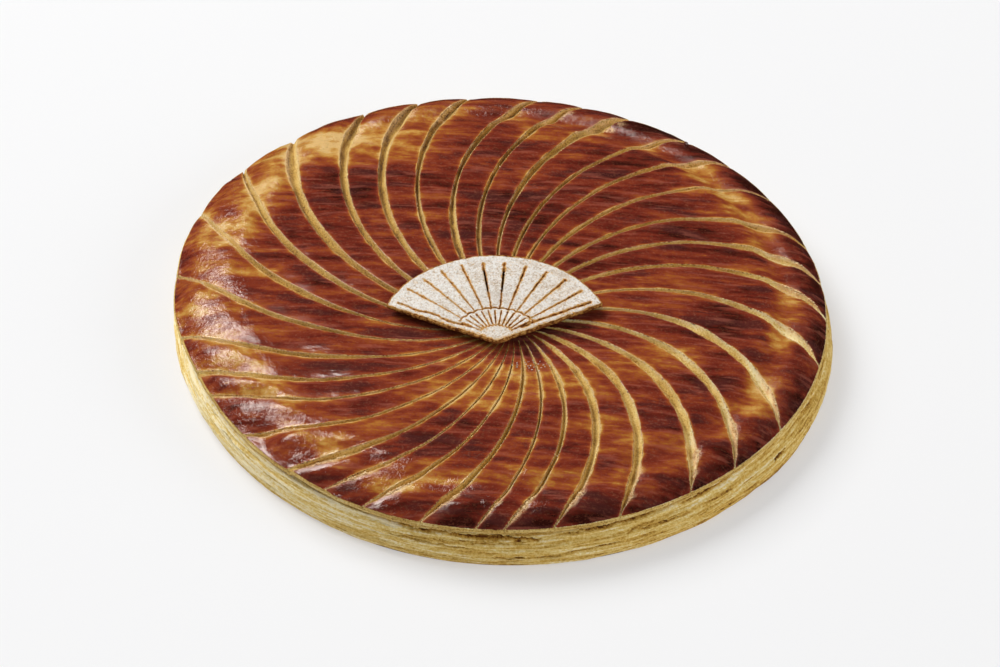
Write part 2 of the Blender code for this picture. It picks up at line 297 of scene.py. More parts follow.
def half_width(score, way):
    """Half the width of each score at each step of its way, in metres."""
    score = score % SCORES
    inner, mid = INNER_WIDTH[score], MID_WIDTH[score]
    leaf, end = LEAF_WIDTH[score], END_WIDTH[score]
    full = along(((0.06, 0.35 * inner), (0.22, 0.75 * inner), (0.38, inner), (0.62, mid),
                  (0.78, 0.5 * mid + 0.4 * leaf), (0.89, leaf), (0.955, 0.55 * leaf + 0.3 * end),
                  (0.995, end)), way)
    ragged = (1.0 + 0.13 * noise(way * 24.0, score * 7.7, 11)
              + 0.10 * noise(way * 75.0, score * 5.3, 12))
    return 0.5 * full * ragged * 0.1 * MM


def overhang(angle):
    """How far the crust's rim droops out over the side, in metres: only on the left."""
    degrees = np.degrees(angle) % 360.0
    return 2.1 * MM * ease(128.0, 158.0, degrees) * (1.0 - ease(186.0, 207.0, degrees))


# ---- Glazed crust -------------------------------------------------------------------------
RING_WAYS = np.concatenate([np.linspace(0.03, 0.87, 74), np.linspace(0.880, 1.0, 22)])
WALL_STEPS = (0.0, 0.34, 0.62, 0.85, 1.0)       # across half a score: floor to crust edge
LIP_STEPS = (0.30 * MM, 0.7 * MM, 1.4 * MM)     # on the crust beside it
PILLOW_STEPS = 13
SCORE_DEPTH = 1.9 * MM


def crust_columns(way):
    """Score coordinate, and place across the score and the crust, of one ring."""
    gap = np.arange(SCORES)
    space = score_spacing(gap + 0.5, max(way, 0.03))
    rows = []
    right = half_width(gap, way)
    left = half_width(gap + 1, way)
    lip = LIP_STEPS[-1]
    shrink = np.minimum(1.0, 0.42 * space / (np.maximum(right, left) + lip))
    right, left, lips = right * shrink, left * shrink, [s * shrink for s in LIP_STEPS]
    for q in WALL_STEPS:
        rows.append((q * right, q))
    for step, extra in enumerate(lips):
        rows.append((right + extra, 1.0 + step + 1.0))
    low, high = right + lips[-1], space - left - lips[-1]
    for k in range(PILLOW_STEPS):
        rows.append((low + (high - low) * (k + 1) / (PILLOW_STEPS + 1), 10.0))
    for step, extra in reversed(list(enumerate(lips))):
        rows.append((space - left - extra, -(1.0 + step + 1.0)))
    for q in reversed(WALL_STEPS[1:]):
        rows.append((space - q * left, -q))
    offset = np.stack([r[0] / space for r in rows], 1)
    mark = np.array([r[1] for r in rows])[None, :].repeat(SCORES, 0)
    width = np.where(offset < 0.5, right[:, None], left[:, None])
    across = np.clip((offset * space[:, None] - right[:, None])
                     / (space - left - right)[:, None], 0.0, 1.0)
    score = np.where(offset < 0.5, gap[:, None], gap[:, None] + 1) % SCORES
    index = gap[:, None] + offset
    return [a.ravel() for a in (index, mark, across, width, score)]


def crust_rings():
    """Coordinates and surface attributes of the scored crust, ring by ring."""
    rings = []
    for way in RING_WAYS:
        index, mark, across, width, score = crust_columns(way)
        x, y = score_point(index, way)
        angle = np.arctan2(y, x)
        out = np.hypot(x, y) / PASTRY_RADIUS / (1.0 + waves(OUTLINE_WAVES, angle))
        rear_left = 0.5 + 0.5 * np.cos(angle - math.radians(125))
        rear_right = ease(0.45, 0.9, 0.5 + 0.5 * np.cos(angle - math.radians(40)))
        # Scores: a flat floor, steep walls and slightly raised, ragged edges.
        strength = ease(0.05, 0.17, way)
        q = np.minimum(np.abs(mark), 1.0)
        in_score = np.abs(mark) < 1.01
        leaf = ease(0.80, 0.90, way) * (1.0 - ease(0.95, 1.0, way))
        depth = SCORE_DEPTH * (0.55 + 0.45 * ease(0.15, 0.45, way)) * strength
        depth = depth * (1.0 + 0.35 * leaf)
        depth = depth * (1.0 - (0.80 - 0.75 * ease(0.45, 0.75, rear_left)) * ease(0.95, 1.0, way))
        floor = depth * (1.0 - q ** 1.4)
        rough = noise(x / (1.1 * MM), y / (1.1 * MM), 21) * 0.16 * MM
        height = crust_height(x, y)
        # The rim rounds over evenly to the cut edge.
        over = np.clip((out - 0.915) / 0.085, 0.0, 1.0)
        edge = EDGE_HEIGHT + waves(EDGE_WAVES, angle)
        crest = RIM_HEIGHT + (0.3 - 0.5 * rear_right) * MM
        rounded = crest - (crest - edge) * over ** 1.9
        height = height + ease(0.885, 0.94, out) * (rounded - height)
        # On the left the rim has no valley: it rounds off in one even slope.
        left_side = ease(0.50, 0.95, 0.5 + 0.5 * np.cos(angle - math.radians(184)))
        stray = 0.022 * noise(x / 0.011, y / 0.009, 24)
        begin = 0.875 - 0.05 * ease(0.1, 0.9, across)
        run = np.clip((out + stray - begin) / (1.0 - begin), 0.0, 1.0)
        slope = SHOULDER_HEIGHT - (0.2 + 3.4 * run + 3.7 * run ** 2) * MM
        height = height + left_side * ease(0.80, 0.84, out) * (slope - height)
        height = height - 0.35 * overhang(angle) * ease(0.94, 1.0, out)
        hide = noise(x / 0.0062, y / 0.0046, 25) + 0.5 * noise(x / 0.0026, y / 0.0024, 26)
        crumple = ease(0.5, 0.9, -np.sin(angle)) * ease(0.2, 0.5, noise(x / 0.008, y / 0.006, 63))
        crumple = 0.35 + 0.65 * left_side + 0.15 * rear_right + 1.5 * crumple
        height = height + 0.12 * MM * hide * ease(0.80, 0.88, out) * crumple
        height = height - np.where(in_score, floor - rough * strength * (1 - q), 0.0)
        beside = np.where(np.abs(mark) >= 1.0, np.exp(-np.maximum(np.abs(mark) - 1.0, 0.0)), 0.0)
        lip = beside * (0.10 * MM + 0.16 * MM * noise(way * 90.0, score * 3.1, 23))
        height = height + np.where(np.abs(mark) < 9, lip, 0.0) * strength
        # The crust swells between the scores, most on the rim at the back and left.
        round_over = 1.0 - np.abs(2.0 * across - 1.0) ** (2.6 - 0.6 * left_side)
        swell = 0.38 * MM * ease(0.1, 0.5, way)
        rim = ease(0.86 - 0.06 * left_side, 0.93, out) * (1.0 - ease(0.96, 1.0, out))
        swell = swell * (1.0 - 0.5 * rear_right * ease(0.78, 0.88, out))
        swell = swell + rim * (0.45 + 0.35 * rear_left) * (1.0 - 0.68 * rear_right) * MM
        swell = swell + rim * left_side * 0.5 * MM
        swell = swell * (1.0 - 0.45 * ease(0.6, 0.95, -np.sin(angle)))
        height = height + swell * round_over * np.where(in_score, 0.0, 1.0)
        dent = ease(0.80, 0.87, out) * (1.0 - ease(0.88, 0.95, out))
        height = height - dent * 0.7 * MM * rear_left * (0.6 + 0.8 * noise(x / 0.012, y / 0.012, 29))
        # Broad unevenness and fine rolled grain along X.
        height = height + 0.22 * MM * layered_noise(x / 0.018, y / 0.011, 31) * (1 - ease(0.96, 1, out))
        grain = layered_noise(x / 0.022, y / 0.0016, 37, 2)
        height = height + np.where(in_score, 0.0, 0.028 * MM * grain * (1.0 - 0.6 * ease(0.78, 0.88, out)))
        # The cut edge bulges between the scores and is notched at them.
        bulge = ease(0.93, 1.0, way) * (0.25 + 0.3 * ease(0.6, 1.0, rear_left)) * MM
        grown = 1.0 + bulge * (round_over - 0.25) / PASTRY_RADIUS
        grown = grown + overhang(angle) * ease(0.86, 1.0, way) / PASTRY_RADIUS
        rings.append((x * grown, y * grown, height, mark, across, out, angle, way, score, leaf))
    return rings


# Where the glaze is darker or paler than the rest, mostly from its baking: x, y and radius in mm, change.
# The pale spots along the left rim are partly painted highlight.
# The seven spots of radius 5 in front of the fan's lower edges are painted shadow of the fan.
BAKING_AND_PAINTED_LIGHT_SPOTS = (
    (-75, 52, 17, 0.28), (-60, 60, 13, 0.14), (-88, 34, 14, 0.12), (-98, 17, 11, 0.10),
    (82, 42, 20, 0.10), (45, 76, 9, 0.13), (58, 66, 9, 0.13), (95, -8, 12, 0.18),
    (80, -25, 12, 0.12), (80, -60, 10, 0.12), (32, -85, 8, 0.12), (47, -90, 8, 0.08),
    (60, -80, 13, 0.08), (-18, -101, 10, 0.05), (-42, -78, 18, 0.08), (30, -22, 14, 0.06),
    (58, 114, 10, 0.30), (76, 102, 9, 0.16), (101, 79, 12, 0.26), (117, 57, 11, 0.28),
    (121, 17, 13, 0.22), (129, -11, 8, 0.32), (121, -54, 13, 0.24), (104, -87, 13, 0.18),
    (72, -110, 10, 0.08), (45, -122, 11, 0.14), (20, -129, 9, 0.15), (-6, -129, 10, 0.15),
    (-84, 86, 20, -0.40), (-62, 98, 12, -0.26), (-106, 30, 12, -0.24), (-116, 52, 14, -0.20),
    (-97, 66, 17, -0.26), (-30, 103, 15, -0.22), (-45, 118, 21, -0.14), (-5, 118, 14, -0.08),
    (-116, -15, 15, -0.14), (-105, -45, 13, -0.26), (-93, -62, 12, -0.30), (-76, -84, 14, -0.14),
    (-58, -101, 9, -0.30), (-36, -112, 11, -0.26), (5, 107, 10, -0.16), (28, 107, 10, -0.22),
    (84, 80, 10, -0.26), (95, 58, 11, -0.30), (104, 35, 11, -0.30), (108, -48, 8, -0.18),
    (95, -65, 7, -0.14), (61, 98, 10, -0.24), (57, -42, 14, -0.12), (72, -36, 9, -0.06),
    (8, 10, 13, -0.06), (0, -62, 26, -0.06), (-10, 30, 20, 0.02), (112, -20, 9, -0.10),
    (-121, 22, 12, -0.20), (-122, -4, 11, -0.22), (-118, -32, 11, -0.18), (-105, -62, 10, -0.10),
    (-88, 100, 10, -0.16), (-20, 124, 10, -0.10), (-97, -20, 9, -0.06), (-66, -108, 9, 0.06),
    (58, 0, 14, 0.12), (51, 29, 14, 0.12), (-51, 29, 12, 0.06), (0, -58, 14, -0.05),
    (29, -51, 14, -0.08), (81, 2, 12, -0.10), (-70, 40, 10, 0.06), (-81, 0, 12, 0.05),
    (-70, -40, 14, 0.07), (-40, -70, 14, -0.12), (0, -81, 14, -0.06), (40, -70, 14, -0.16),
    (99, 0, 10, -0.12), (86, 49, 12, -0.08), (-49, 86, 14, -0.16), (-99, 0, 12, -0.12),
    (-49, -86, 12, -0.06), (49, -86, 12, -0.16), (86, -49, 12, 0.14), (56, 97, 8, 0.08),
    (0, 112, 10, 0.08), (-97, 56, 10, -0.12), (97, -56, 10, 0.14), (121, 0, 8, -0.10),
    (60, -105, 9, -0.18), (105, -60, 9, -0.20), (0, -121, 8, 0.02), (-124, 40, 8, -0.10),
    (-126, 10, 8, -0.10), (-126, -16, 8, -0.10), (-49, 88, 13, -0.16), (-84, 52, 9, -0.12),
    (-72, 72, 10, -0.14), (-36, 96, 11, -0.10), (0, 100, 10, -0.06), (-112, -44, 9, -0.10),
    (-62, -98, 9, -0.14), (-30, -112, 9, -0.10), (-108, 60, 9, -0.10), (96, 4, 12, 0.10),
    (70, 30, 16, 0.06), (84, -22, 12, 0.06), (-36, -29, 5, 0.16), (-25, -34, 5, 0.18),
    (-12, -40, 5, 0.18), (0, -44, 5, 0.16), (12, -39, 5, 0.18), (22, -31, 5, 0.18),
    (32, -25, 5, 0.16), (-64, 84, 14, -0.10), (-92, 78, 12, -0.10), (-70, -78, 12, -0.10),
    (-14, -62, 13, -0.09), (16, -58, 11, -0.10), (-36, -56, 12, -0.08), (4, -76, 10, -0.08),
    (-50, -62, 9, 0.08), (24, -74, 9, 0.08), (-22, -84, 10, 0.07), (-2, 60, 14, 0.06),
    (-34, 66, 12, 0.06),
)


def browning_and_painted_light(x, y, out, angle, across, way):
    """How dark the glaze is: 0 pale amber, 1 nearly black, from its baking and from painted shadow and highlight
    spots.
    """
    level = 0.66 + 0.09 * layered_noise(x / 0.034, y / 0.013, 41)
    level = level + 0.05 * ease(0.0, 0.06, y + 0.3 * x)
    level = level + 0.05 * noise(x / 0.030, y / 0.011, 44)
    stray_x = 3.0 * MM * noise(x / 0.008, y / 0.006, 42)
    stray_y = 3.0 * MM * noise(x / 0.008, y / 0.006, 43)
    for spot_x, spot_y, radius, change in BAKING_AND_PAINTED_LIGHT_SPOTS:
        apart = np.hypot(x + stray_x - spot_x * MM, y + stray_y - spot_y * MM) / (radius * MM)
        level = level + change * np.exp(-apart ** 2)
    right = 0.5 + 0.5 * np.cos(angle - math.radians(5))
    valley = ease(0.80, 0.86, out) * (1.0 - ease(0.89, 0.94, out))
    level = level - valley * (0.06 + 0.10 * right + 0.16 * right * ease(0.4, 0.9, across))
    middle = 1.0 - np.abs(2.0 * across - 1.0) ** 2
    level = level + 0.16 * ease(0.93, 0.985, out) * (0.4 + 0.6 * right) * (0.3 + 0.7 * middle)
    return level


def build_crust():
    rings = crust_rings()
    columns = len(rings[0][0])
    points, brown, dough, cream, lip, wrinkle, matte, dull = [], [], [], [], [], [], [], []
    # one point in the middle, then the rings
    cx, cy = SCORE_CENTRE
    points.append(np.array([[cx, cy, crust_height(cx, cy)]]))
    for store, value in ((brown, 0.66), (dough, 0.0), (cream, 0.3), (lip, 0.0), (wrinkle, 0.0),
                         (matte, 0.0), (dull, 0.0)):
        store.append(np.array([value]))
    for x, y, z, mark, across, out, angle, way, score, leaf in rings:
        points.append(np.stack([x, y, z], 1))
        fringe = np.exp(-np.maximum(np.abs(mark) - 2.0, 0.0) / 0.9) * (np.abs(mark) < 9)
        fringe = fringe * ease(0.05, 0.15, way) * (1.0 + 0.5 * noise(way * 40.0, score * 5.7, 54))
        fringe = fringe * np.where(mark > 0.0, 0.40, 0.26)
        brown.append(browning_and_painted_light(x, y, out, angle, across, way) - fringe * (np.abs(mark) > 1.0))
        in_score = np.interp(np.abs(mark), (0.0, 0.62, 0.85, 1.0, 2.0, 3.0), (1.0, 1.0, 0.8, 0.55, 0.25, 0.0))
        dough.append(in_score * ease(0.04, 0.12, way))
        # The cosine term paints the dough darker towards the back-left: painted shade.
        tone = 0.51 + 0.10 * np.cos(angle + 0.7) + 0.04 * CREAM[score] * ease(0.72, 0.92, way)
        tone = tone + 0.12 * noise(way * 30.0, score * 9.1, 51)
        # A dark line along the bottom of each score, darkest near the fan, is painted shade.
        painted_slit_shade = (1.0 - ease(0.10, 0.66, np.abs(mark))) * (0.6 + 0.6 * noise(way * 55.0, score * 4.1, 55))
        near = 1.0 - ease(0.40, 0.62, way)
        tone = tone - painted_slit_shade * (0.10 + 0.055 * SLIT_SHADE[score] * near)
        side = np.clip(mark, -1.0, 1.0)
        tone = tone + 0.16 * side * noise(way * 4.0, score * 2.3, 52)
        # One wall is painted lighter and the other darker by which way the score runs: painted light and shade.
        tone = tone + 0.20 * side * np.sin(angle + 2.3)
        # Dark fold lines in the leaf-shaped openings are painted shade of the creases.
        fold_shade = bell(np.abs(mark + 0.25 * noise(way * 22.0, score * 1.9, 56)), 0.30, 0.50, 0.68)
        tone = tone - 0.34 * fold_shade * leaf * (0.5 + noise(way * 35.0, score * 6.1, 57))
        cream.append(tone)
        ragged = np.maximum(0.5 + 1.1 * noise(way * 45.0, score * 2.9, 59), 0.0)
        wide = 0.45 + leaf * (mark > 0.0) * (0.5 + 1.2 * ease(0.45, 0.9, -np.sin(angle))) * ragged
        edge = np.exp(-((np.abs(mark) - 1.2) / wide) ** 2) * ease(0.12, 0.25, way)
        chipped = np.clip(0.45 + 0.9 * noise(way * 80.0, score * 3.1, 53), 0.0, 1.0)
        torn = 0.08 * CREAM[score] * leaf
        # Pale crackled blisters beside the score ends at the back; their paleness is partly a painted highlight of
        # small glints.
        pale_blisters_and_glints = ease(0.74, 0.94, across) * bell(way, 0.84, 0.91, 0.97) * ease(0.55, 0.8, np.sin(angle))
        pale_blisters_and_glints = pale_blisters_and_glints * ease(0.05, 0.45, noise(x / 0.0042, y / 0.0030, 58)) * (np.abs(mark) > 1.0)
        front = ease(0.45, 0.9, -np.sin(angle)) * leaf
        edge = edge * np.where(mark > 0.0, chipped + 0.4 * leaf + torn + 0.6 * front,
                               (0.45 + 0.3 * chipped) * (1.0 - 0.6 * front))
        lip.append(np.maximum(edge, 1.1 * pale_blisters_and_glints))
        left = 0.5 + 0.5 * np.cos(angle - math.radians(195))
        smooth = ease(0.5, 0.9, -np.sin(angle)) * (1.0 - ease(0.10, 0.40, noise(x / 0.009, y / 0.006, 62)))
        wrinkle.append(ease(0.70, 0.90, out) * (0.50 + 0.50 * left) * (1.0 - 0.8 * smooth))
        rear = 0.5 + 0.5 * np.cos(angle - math.radians(45))
        matte.append(ease(0.84, 0.91, out) * ease(0.40, 0.75, rear))
        torn_edge = np.exp(-np.maximum(np.abs(mark) - 2.0, 0.0) / 0.8) * (np.abs(mark) < 9)
        dull.append(0.16 * np.cos(TURN / 2.0 * np.clip(across, 0.0, 1.0)) + 0.16 * torn_edge
                    - 0.5 * (1.0 - ease(0.80, 0.88, out)))
    # Cut band under the glaze's edge, then the hidden underside.
    x, y, z, mark, across, out, angle, way, score, leaf = rings[-1]
    radius = np.hypot(x, y)
    band = band_height(angle)
    band_rows = ((0.10, 0.22), (0.25, 0.42), (0.42, 0.55), (0.60, 0.60), (0.78, 0.55),
                 (0.93, 0.42), (1.0, 0.10), (0.985, -1.3))
    for share, stand in band_rows:
        ridge = 0.16 * noise(angle * 133.0 / 5.0, share * 7.0, 61) + 0.10 * np.sin(share * 16.0)
        grown = (radius + (stand + ridge) * MM) / radius
        wobble = 0.25 * MM * noise(angle * 133.0 / 3.0, 0.0, 62) * share
        points.append(np.stack([x * grown, y * grown, z - band * share + wobble], 1))
        for store, value in ((brown, 0.3), (dough, 1.0), (lip, 0.0), (wrinkle, 0.0), (matte, 0.0),
                             (dull, 0.0)):
            store.append(np.full(columns, value))
        # The band is painted darker towards its lower edge, where it turns under into the split: painted shade.
        cream.append(0.62 + 0.25 * noise(angle * 133.0 / 9.0, share * 9.0, 63)
                     - 0.3 * ease(0.8, 1.0, share) * np.ones(columns))
    under_ways = (0.955, 0.90, 0.80, 0.60, 0.35)
    index = crust_columns(1.0)[0]
    for share in under_ways:
        ux, uy = score_point(index, share)
        points.append(np.stack([ux, uy, crust_height(ux, uy) - SHEET_THICKNESS], 1))
        for store, value in ((brown, 0.3), (dough, 1.0), (cream, 0.5), (lip, 0.0), (wrinkle, 0.0),
                             (matte, 0.0), (dull, 0.0)):
            store.append(np.full(columns, value))
    points.append(np.array([[cx, cy, crust_height(cx, cy) - SHEET_THICKNESS]]))
    for store, value in ((brown, 0.3), (dough, 1.0), (cream, 0.5), (lip, 0.0), (wrinkle, 0.0),
                         (matte, 0.0), (dull, 0.0)):
        store.append(np.array([value]))
    rows = len(rings) + len(band_rows) + len(under_ways)
    vertices = np.concatenate(points)
    quads = grid_faces(rows, columns, 1)
    j = np.arange(columns)
    k = (j + 1) % columns
    top = np.stack([np.zeros(columns, int), 1 + j, 1 + k], 1)
    last = 1 + (rows - 1) * columns
    bottom = np.stack([np.full(columns, len(vertices) - 1), last + k, last + j], 1)
    piece = build_mesh("glazed_crust", vertices, quads, np.concatenate([top, bottom]), {
        "brown": np.concatenate(brown), "dough": np.concatenate(dough),
        "cream": np.concatenate(cream), "lip": np.concatenate(lip),
        "wrinkle": np.concatenate(wrinkle), "matte": np.concatenate(matte),
        "dull": np.concatenate(dull)})
    kinds = [0] * (len(rings) - 1) + [-1] * len(band_rows) + [1] * len(under_ways)
    add_map(piece, columns, kinds, ((0.44, 0.44, 3.1), (0.935, 0.06, 0.4)), (2, 0.89, 0.05))
    return piece


SHEET_THICKNESS = 4.0 * MM


def band_height(angle):
    """Height of the crust's cut edge, down to the split under it."""
    ragged = 0.35 * noise(angle * 9.0, 0.0, 71) + 0.16 * noise(angle * 60.0, 0.0, 74)
    return (1.75 + 0.35 * np.cos(angle - math.radians(265)) + ragged) * MM


def split_width(angle):
    """Opening between the crust and the layers under it."""
    place = angle * 133.0
    open_share = np.clip(0.35 + 0.9 * noise(place / 21.0, 3.0, 72), 0.0, 1.0)
    return (0.15 + 0.8 * open_share + 0.15 * noise(place / 2.5, 0.0, 73)) * MM


# ---- Flaky pastry under the crust ---------------------------------------------------------
SIDE_COLUMNS = 1500
SIDE_ROWS = 56
LAYER = 1.0 * MM
# Where the layers have parted: first and last place round the side in degrees, height at
# each, opening and depth, in mm.
PARTINGS = (
    (232, 247, 14.6, 14.2, 0.35, 1.2), (246, 259, 14.4, 13.4, 0.45, 1.6),
    (256, 263, 12.4, 13.9, 0.50, 1.8), (262, 279, 13.6, 12.2, 0.75, 2.2),
    (281, 302, 13.2, 13.5, 0.28, 1.2), (303, 318, 12.6, 13.2, 0.30, 1.0),
    (266, 277, 10.9, 10.6, 0.22, 0.9), (252, 268, 9.4, 8.9, 0.24, 1.0),
    (270, 276, 5.3, 5.6, 0.30, 1.4), (277, 282, 5.5, 5.3, 0.30, 1.4),
    (282, 292, 6.1, 7.4, 0.28, 1.2), (292, 306, 10.0, 9.2, 0.22, 0.8),
    (306, 322, 6.8, 8.8, 0.26, 1.0), (325, 329, 7.6, 8.4, 0.55, 1.8),
    (337, 340, 6.4, 7.2, 0.45, 1.6), (330, 350, 11.4, 10.6, 0.25, 0.9),
    (196, 214, 11.8, 11.0, 0.22, 0.8), (214, 236, 9.4, 8.6, 0.22, 0.8),
    (8, 26, 9.0, 10.2, 0.30, 1.1), (34, 52, 12.4, 11.6, 0.35, 1.4), (60, 71, 6.2, 7.0, 0.30, 1.2),
    (80, 104, 11.0, 12.0, 0.28, 1.0), (112, 124, 5.6, 6.4, 0.32, 1.3),
    (128, 150, 12.2, 11.2, 0.32, 1.2), (158, 176, 8.4, 9.4, 0.26, 1.0),
)


def partings(angle, height):
    """How deeply the side is parted at each place, in mm."""
    degrees = np.degrees(angle) % 360.0
    deep = np.zeros_like(angle)
    for number, (first, last, low, high, opening, depth) in enumerate(PARTINGS):
        share = (degrees - first) / (last - first)
        inside = (share > 0.0) & (share < 1.0)
        share = np.clip(share, 0.0, 1.0)
        sway = 0.35 * noise(degrees * 0.9, number * 7.3, 88) + 0.12 * noise(degrees * 4.0, number, 89)
        middle = (low + (high - low) * share + sway) * MM
        ragged = 0.95 + 0.30 * noise(degrees * 0.8, number * 3.1, 90)
        half = opening * MM * np.sqrt(np.sin(np.pi * share)) * ragged + 0.02 * MM
        cut = 1.0 - ease(0.6, 1.3, np.abs(height - middle) / half)
        deep = np.maximum(deep, depth * cut * inside * np.minimum(1.0, 3.0 * np.sin(np.pi * share)))
    return deep


def build_base():
    angle = np.arange(SIDE_COLUMNS) * TURN / SIDE_COLUMNS
    radius = PASTRY_RADIUS * (1.0 + waves(OUTLINE_WAVES, angle))
    edge = EDGE_HEIGHT + waves(EDGE_WAVES, angle)
    top = edge - band_height(angle) - split_width(angle)
    place = angle * 133.0                           # millimetres round the side
    profile = ((0.0, 0.50 * SIDE_SPREAD), (0.10, 0.85 * SIDE_SPREAD), (0.30, SIDE_SPREAD),
               (0.52, 0.75 * SIDE_SPREAD), (0.72, 0.0009), (0.80, 0.0001))
    points, shade, recess = [], [], []
    shares = np.linspace(1.0, 0.0, SIDE_ROWS)
    for share in shares:
        z = top * share
        part = z / edge
        stand = along(profile, part)
        uneven = waves(SPREAD_WAVES, angle) * (1.0 - ease(0.3, 0.86, part))
        uneven = uneven - 1.0 * overhang(angle) * ease(0.10, 0.45, part)
        level = z / MM + 1.1 * noise(place / 37.0, z / MM / 14.0, 81)
        level = level + 0.45 * noise(place / 9.0, z / MM / 4.0, 82)
        count = level / (LAYER / MM)
        layer = np.floor(count)
        within = count - layer
        body = np.sqrt(np.clip(np.sin(np.pi * within), 0.0, 1.0))
        fade = 0.55 + 0.45 * noise(place / 14.0, layer * 3.7, 83)
        gap = np.clip(noise(place / 26.0, layer * 5.9, 84) - 0.45, 0.0, 1.0) * 2.0
        fine = noise(place / 2.2, count * 3.1, 85)
        deep = partings(angle, z)
        out = (0.34 * (body - 0.75) * fade - 0.9 * gap * (1.0 - body) + 0.09 * fine - deep) * MM
        out = out + 0.46 * MM * noise(place / 13.0, layer * 2.3, 86)
        out = out * ease(-0.02, 0.08, share)
        grown = radius + stand + uneven + out - 1.2 * MM * ease(0.93, 1.0, share)
        points.append(np.stack([grown * np.cos(angle), grown * np.sin(angle), z], 1))
        # The left side is painted paler, as the light falls on it: painted light.
        left = 0.5 + 0.5 * np.cos(angle - math.radians(205))
        sole = 0.30 * (1.0 - ease(0.4 * MM, 1.4 * MM, z + 0.3 * MM * noise(place / 3.0, 1.0, 80)))
        sole = sole + 0.12 * (1.0 - ease(1.5 * MM, 6.5 * MM, z))
        shade.append(0.59 + 0.33 * left ** 3 + 0.18 * noise(place / 30.0, count, 87) + 0.10 * fine
                     - sole)
        # Where the layers part, the side is painted darker: painted shade in the recesses.
        recess.append(np.clip((1.0 - body) * (0.25 * fade + 1.2 * gap) + 0.8 * deep, 0.0, 1.3))
    inner = []
    for share in (0.955, 0.90, 0.80, 0.60, 0.30):
        x, y = share * radius * np.cos(angle), share * radius * np.sin(angle)
        inner.append(np.stack([x, y, crust_height(x, y) - SHEET_THICKNESS - 0.4 * MM], 1))
    under = []
    for share in (0.985, 0.93, 0.75, 0.5, 0.25):
        x, y = share * radius * np.cos(angle), share * radius * np.sin(angle)
        under.append(np.stack([x, y, 0.0 * x], 1))
    middle = crust_height(0.0, 0.0) - SHEET_THICKNESS - 0.4 * MM
    rows = [np.array([[0.0, 0.0, middle]])] + inner[::-1] + points + under + [np.zeros((1, 3))]
    vertices = np.concatenate(rows)
    count = len(rows) - 2
    quads = grid_faces(count, SIDE_COLUMNS, 1)
    j = np.arange(SIDE_COLUMNS)
    k = (j + 1) % SIDE_COLUMNS
    last = 1 + (count - 1) * SIDE_COLUMNS
    caps = np.concatenate([
        np.stack([np.zeros(SIDE_COLUMNS, int), 1 + j, 1 + k], 1),
        np.stack([np.full(SIDE_COLUMNS, len(vertices) - 1), last + k, last + j], 1)])
    hidden = np.full(1 + 5 * SIDE_COLUMNS, 0.5)
    tail = np.full(1 + 5 * SIDE_COLUMNS, 0.5)
    baked = np.concatenate([hidden * 0, np.zeros(SIDE_ROWS * SIDE_COLUMNS), tail * 2.0])
    piece = build_mesh("flaky_pastry", vertices, quads, caps, {
        "shade": np.concatenate([hidden, *shade, tail]),
        "recess": np.concatenate([hidden * 0.0, *recess, tail * 0.0]),
        "baked": baked})
    kinds = [0] * len(inner) + [-1] * (len(points) - 1) + [1] * len(under)
    add_map(piece, SIDE_COLUMNS, kinds, ((0.25, 0.70, 1.7), (0.75, 0.70, 1.7)), (4, 0.01, 0.105))
    return piece


# ---- Fan-shaped biscuit -------------------------------------------------------------------
FAN_AROUND = 560
FAN_ACROSS = 100
FAN_HEART = (-0.0016, -0.0118)          # middle of the biscuit's own grid


def fan_polar(radius, angle):
    return FAN_CENTRE[0] + radius * np.cos(angle), FAN_CENTRE[1] + radius * np.sin(angle)


def fan_angle(share):
    return FAN_START + (FAN_END - FAN_START) * share


def fan_outline():
    """The biscuit's outline at even steps, with its three corners rounded."""
    share = np.linspace(0.0, 1.0, 200)
    bulge = FAN_BULGE * (2.0 * np.sin(np.pi * share) - 1.0)
    reach = FAN_RADIUS + bulge + FAN_SKEW * np.sin(TURN * share)
    arc = np.stack(fan_polar(reach, fan_angle(share)), 1)
    tip = np.array([[FAN_CENTRE[0], FAN_CENTRE[1] - FAN_TIP_DROP]])
    loop = np.concatenate([arc, tip, arc[:1]])
    run = np.concatenate([[0.0], np.cumsum(np.hypot(*np.diff(loop, axis=0).T))])
    even = np.linspace(0.0, run[-1], FAN_AROUND + 1)[:-1]
    line = np.stack([np.interp(even, run, loop[:, k]) for k in (0, 1)], 1)
    for _ in range(6):
        line = 0.25 * np.roll(line, 1, 0) + 0.5 * line + 0.25 * np.roll(line, -1, 0)
    edge_noise = noise(even / (1.7 * MM), 0.0, 91) * 0.16 + noise(even / (6.0 * MM), 5.0, 92) * 0.22
    away = line - np.array(FAN_HEART)
    away /= np.linalg.norm(away, axis=1)[:, None]
    return line + away * (edge_noise * MM)[:, None]


def segment_distance(x, y, start, end):
    """Distance to a straight line, and the share of the way along it."""
    dx, dy = end[0] - start[0], end[1] - start[1]
    share = np.clip(((x - start[0]) * dx + (y - start[1]) * dy) / (dx * dx + dy * dy), 0.0, 1.0)
    return np.hypot(x - start[0] - share * dx, y - start[1] - share * dy), share


def border_line(corner_angle, inward):
    corner = fan_polar(RIB_OUTER, corner_angle)
    tip = (FAN_CENTRE[0], FAN_CENTRE[1] - FAN_TIP_DROP)
    run = np.array(tip) - np.array(corner)
    start = np.array(corner) + np.array((-run[1], run[0])) / np.linalg.norm(run) * inward
    return [start + run * share for share in BORDER_SPAN]


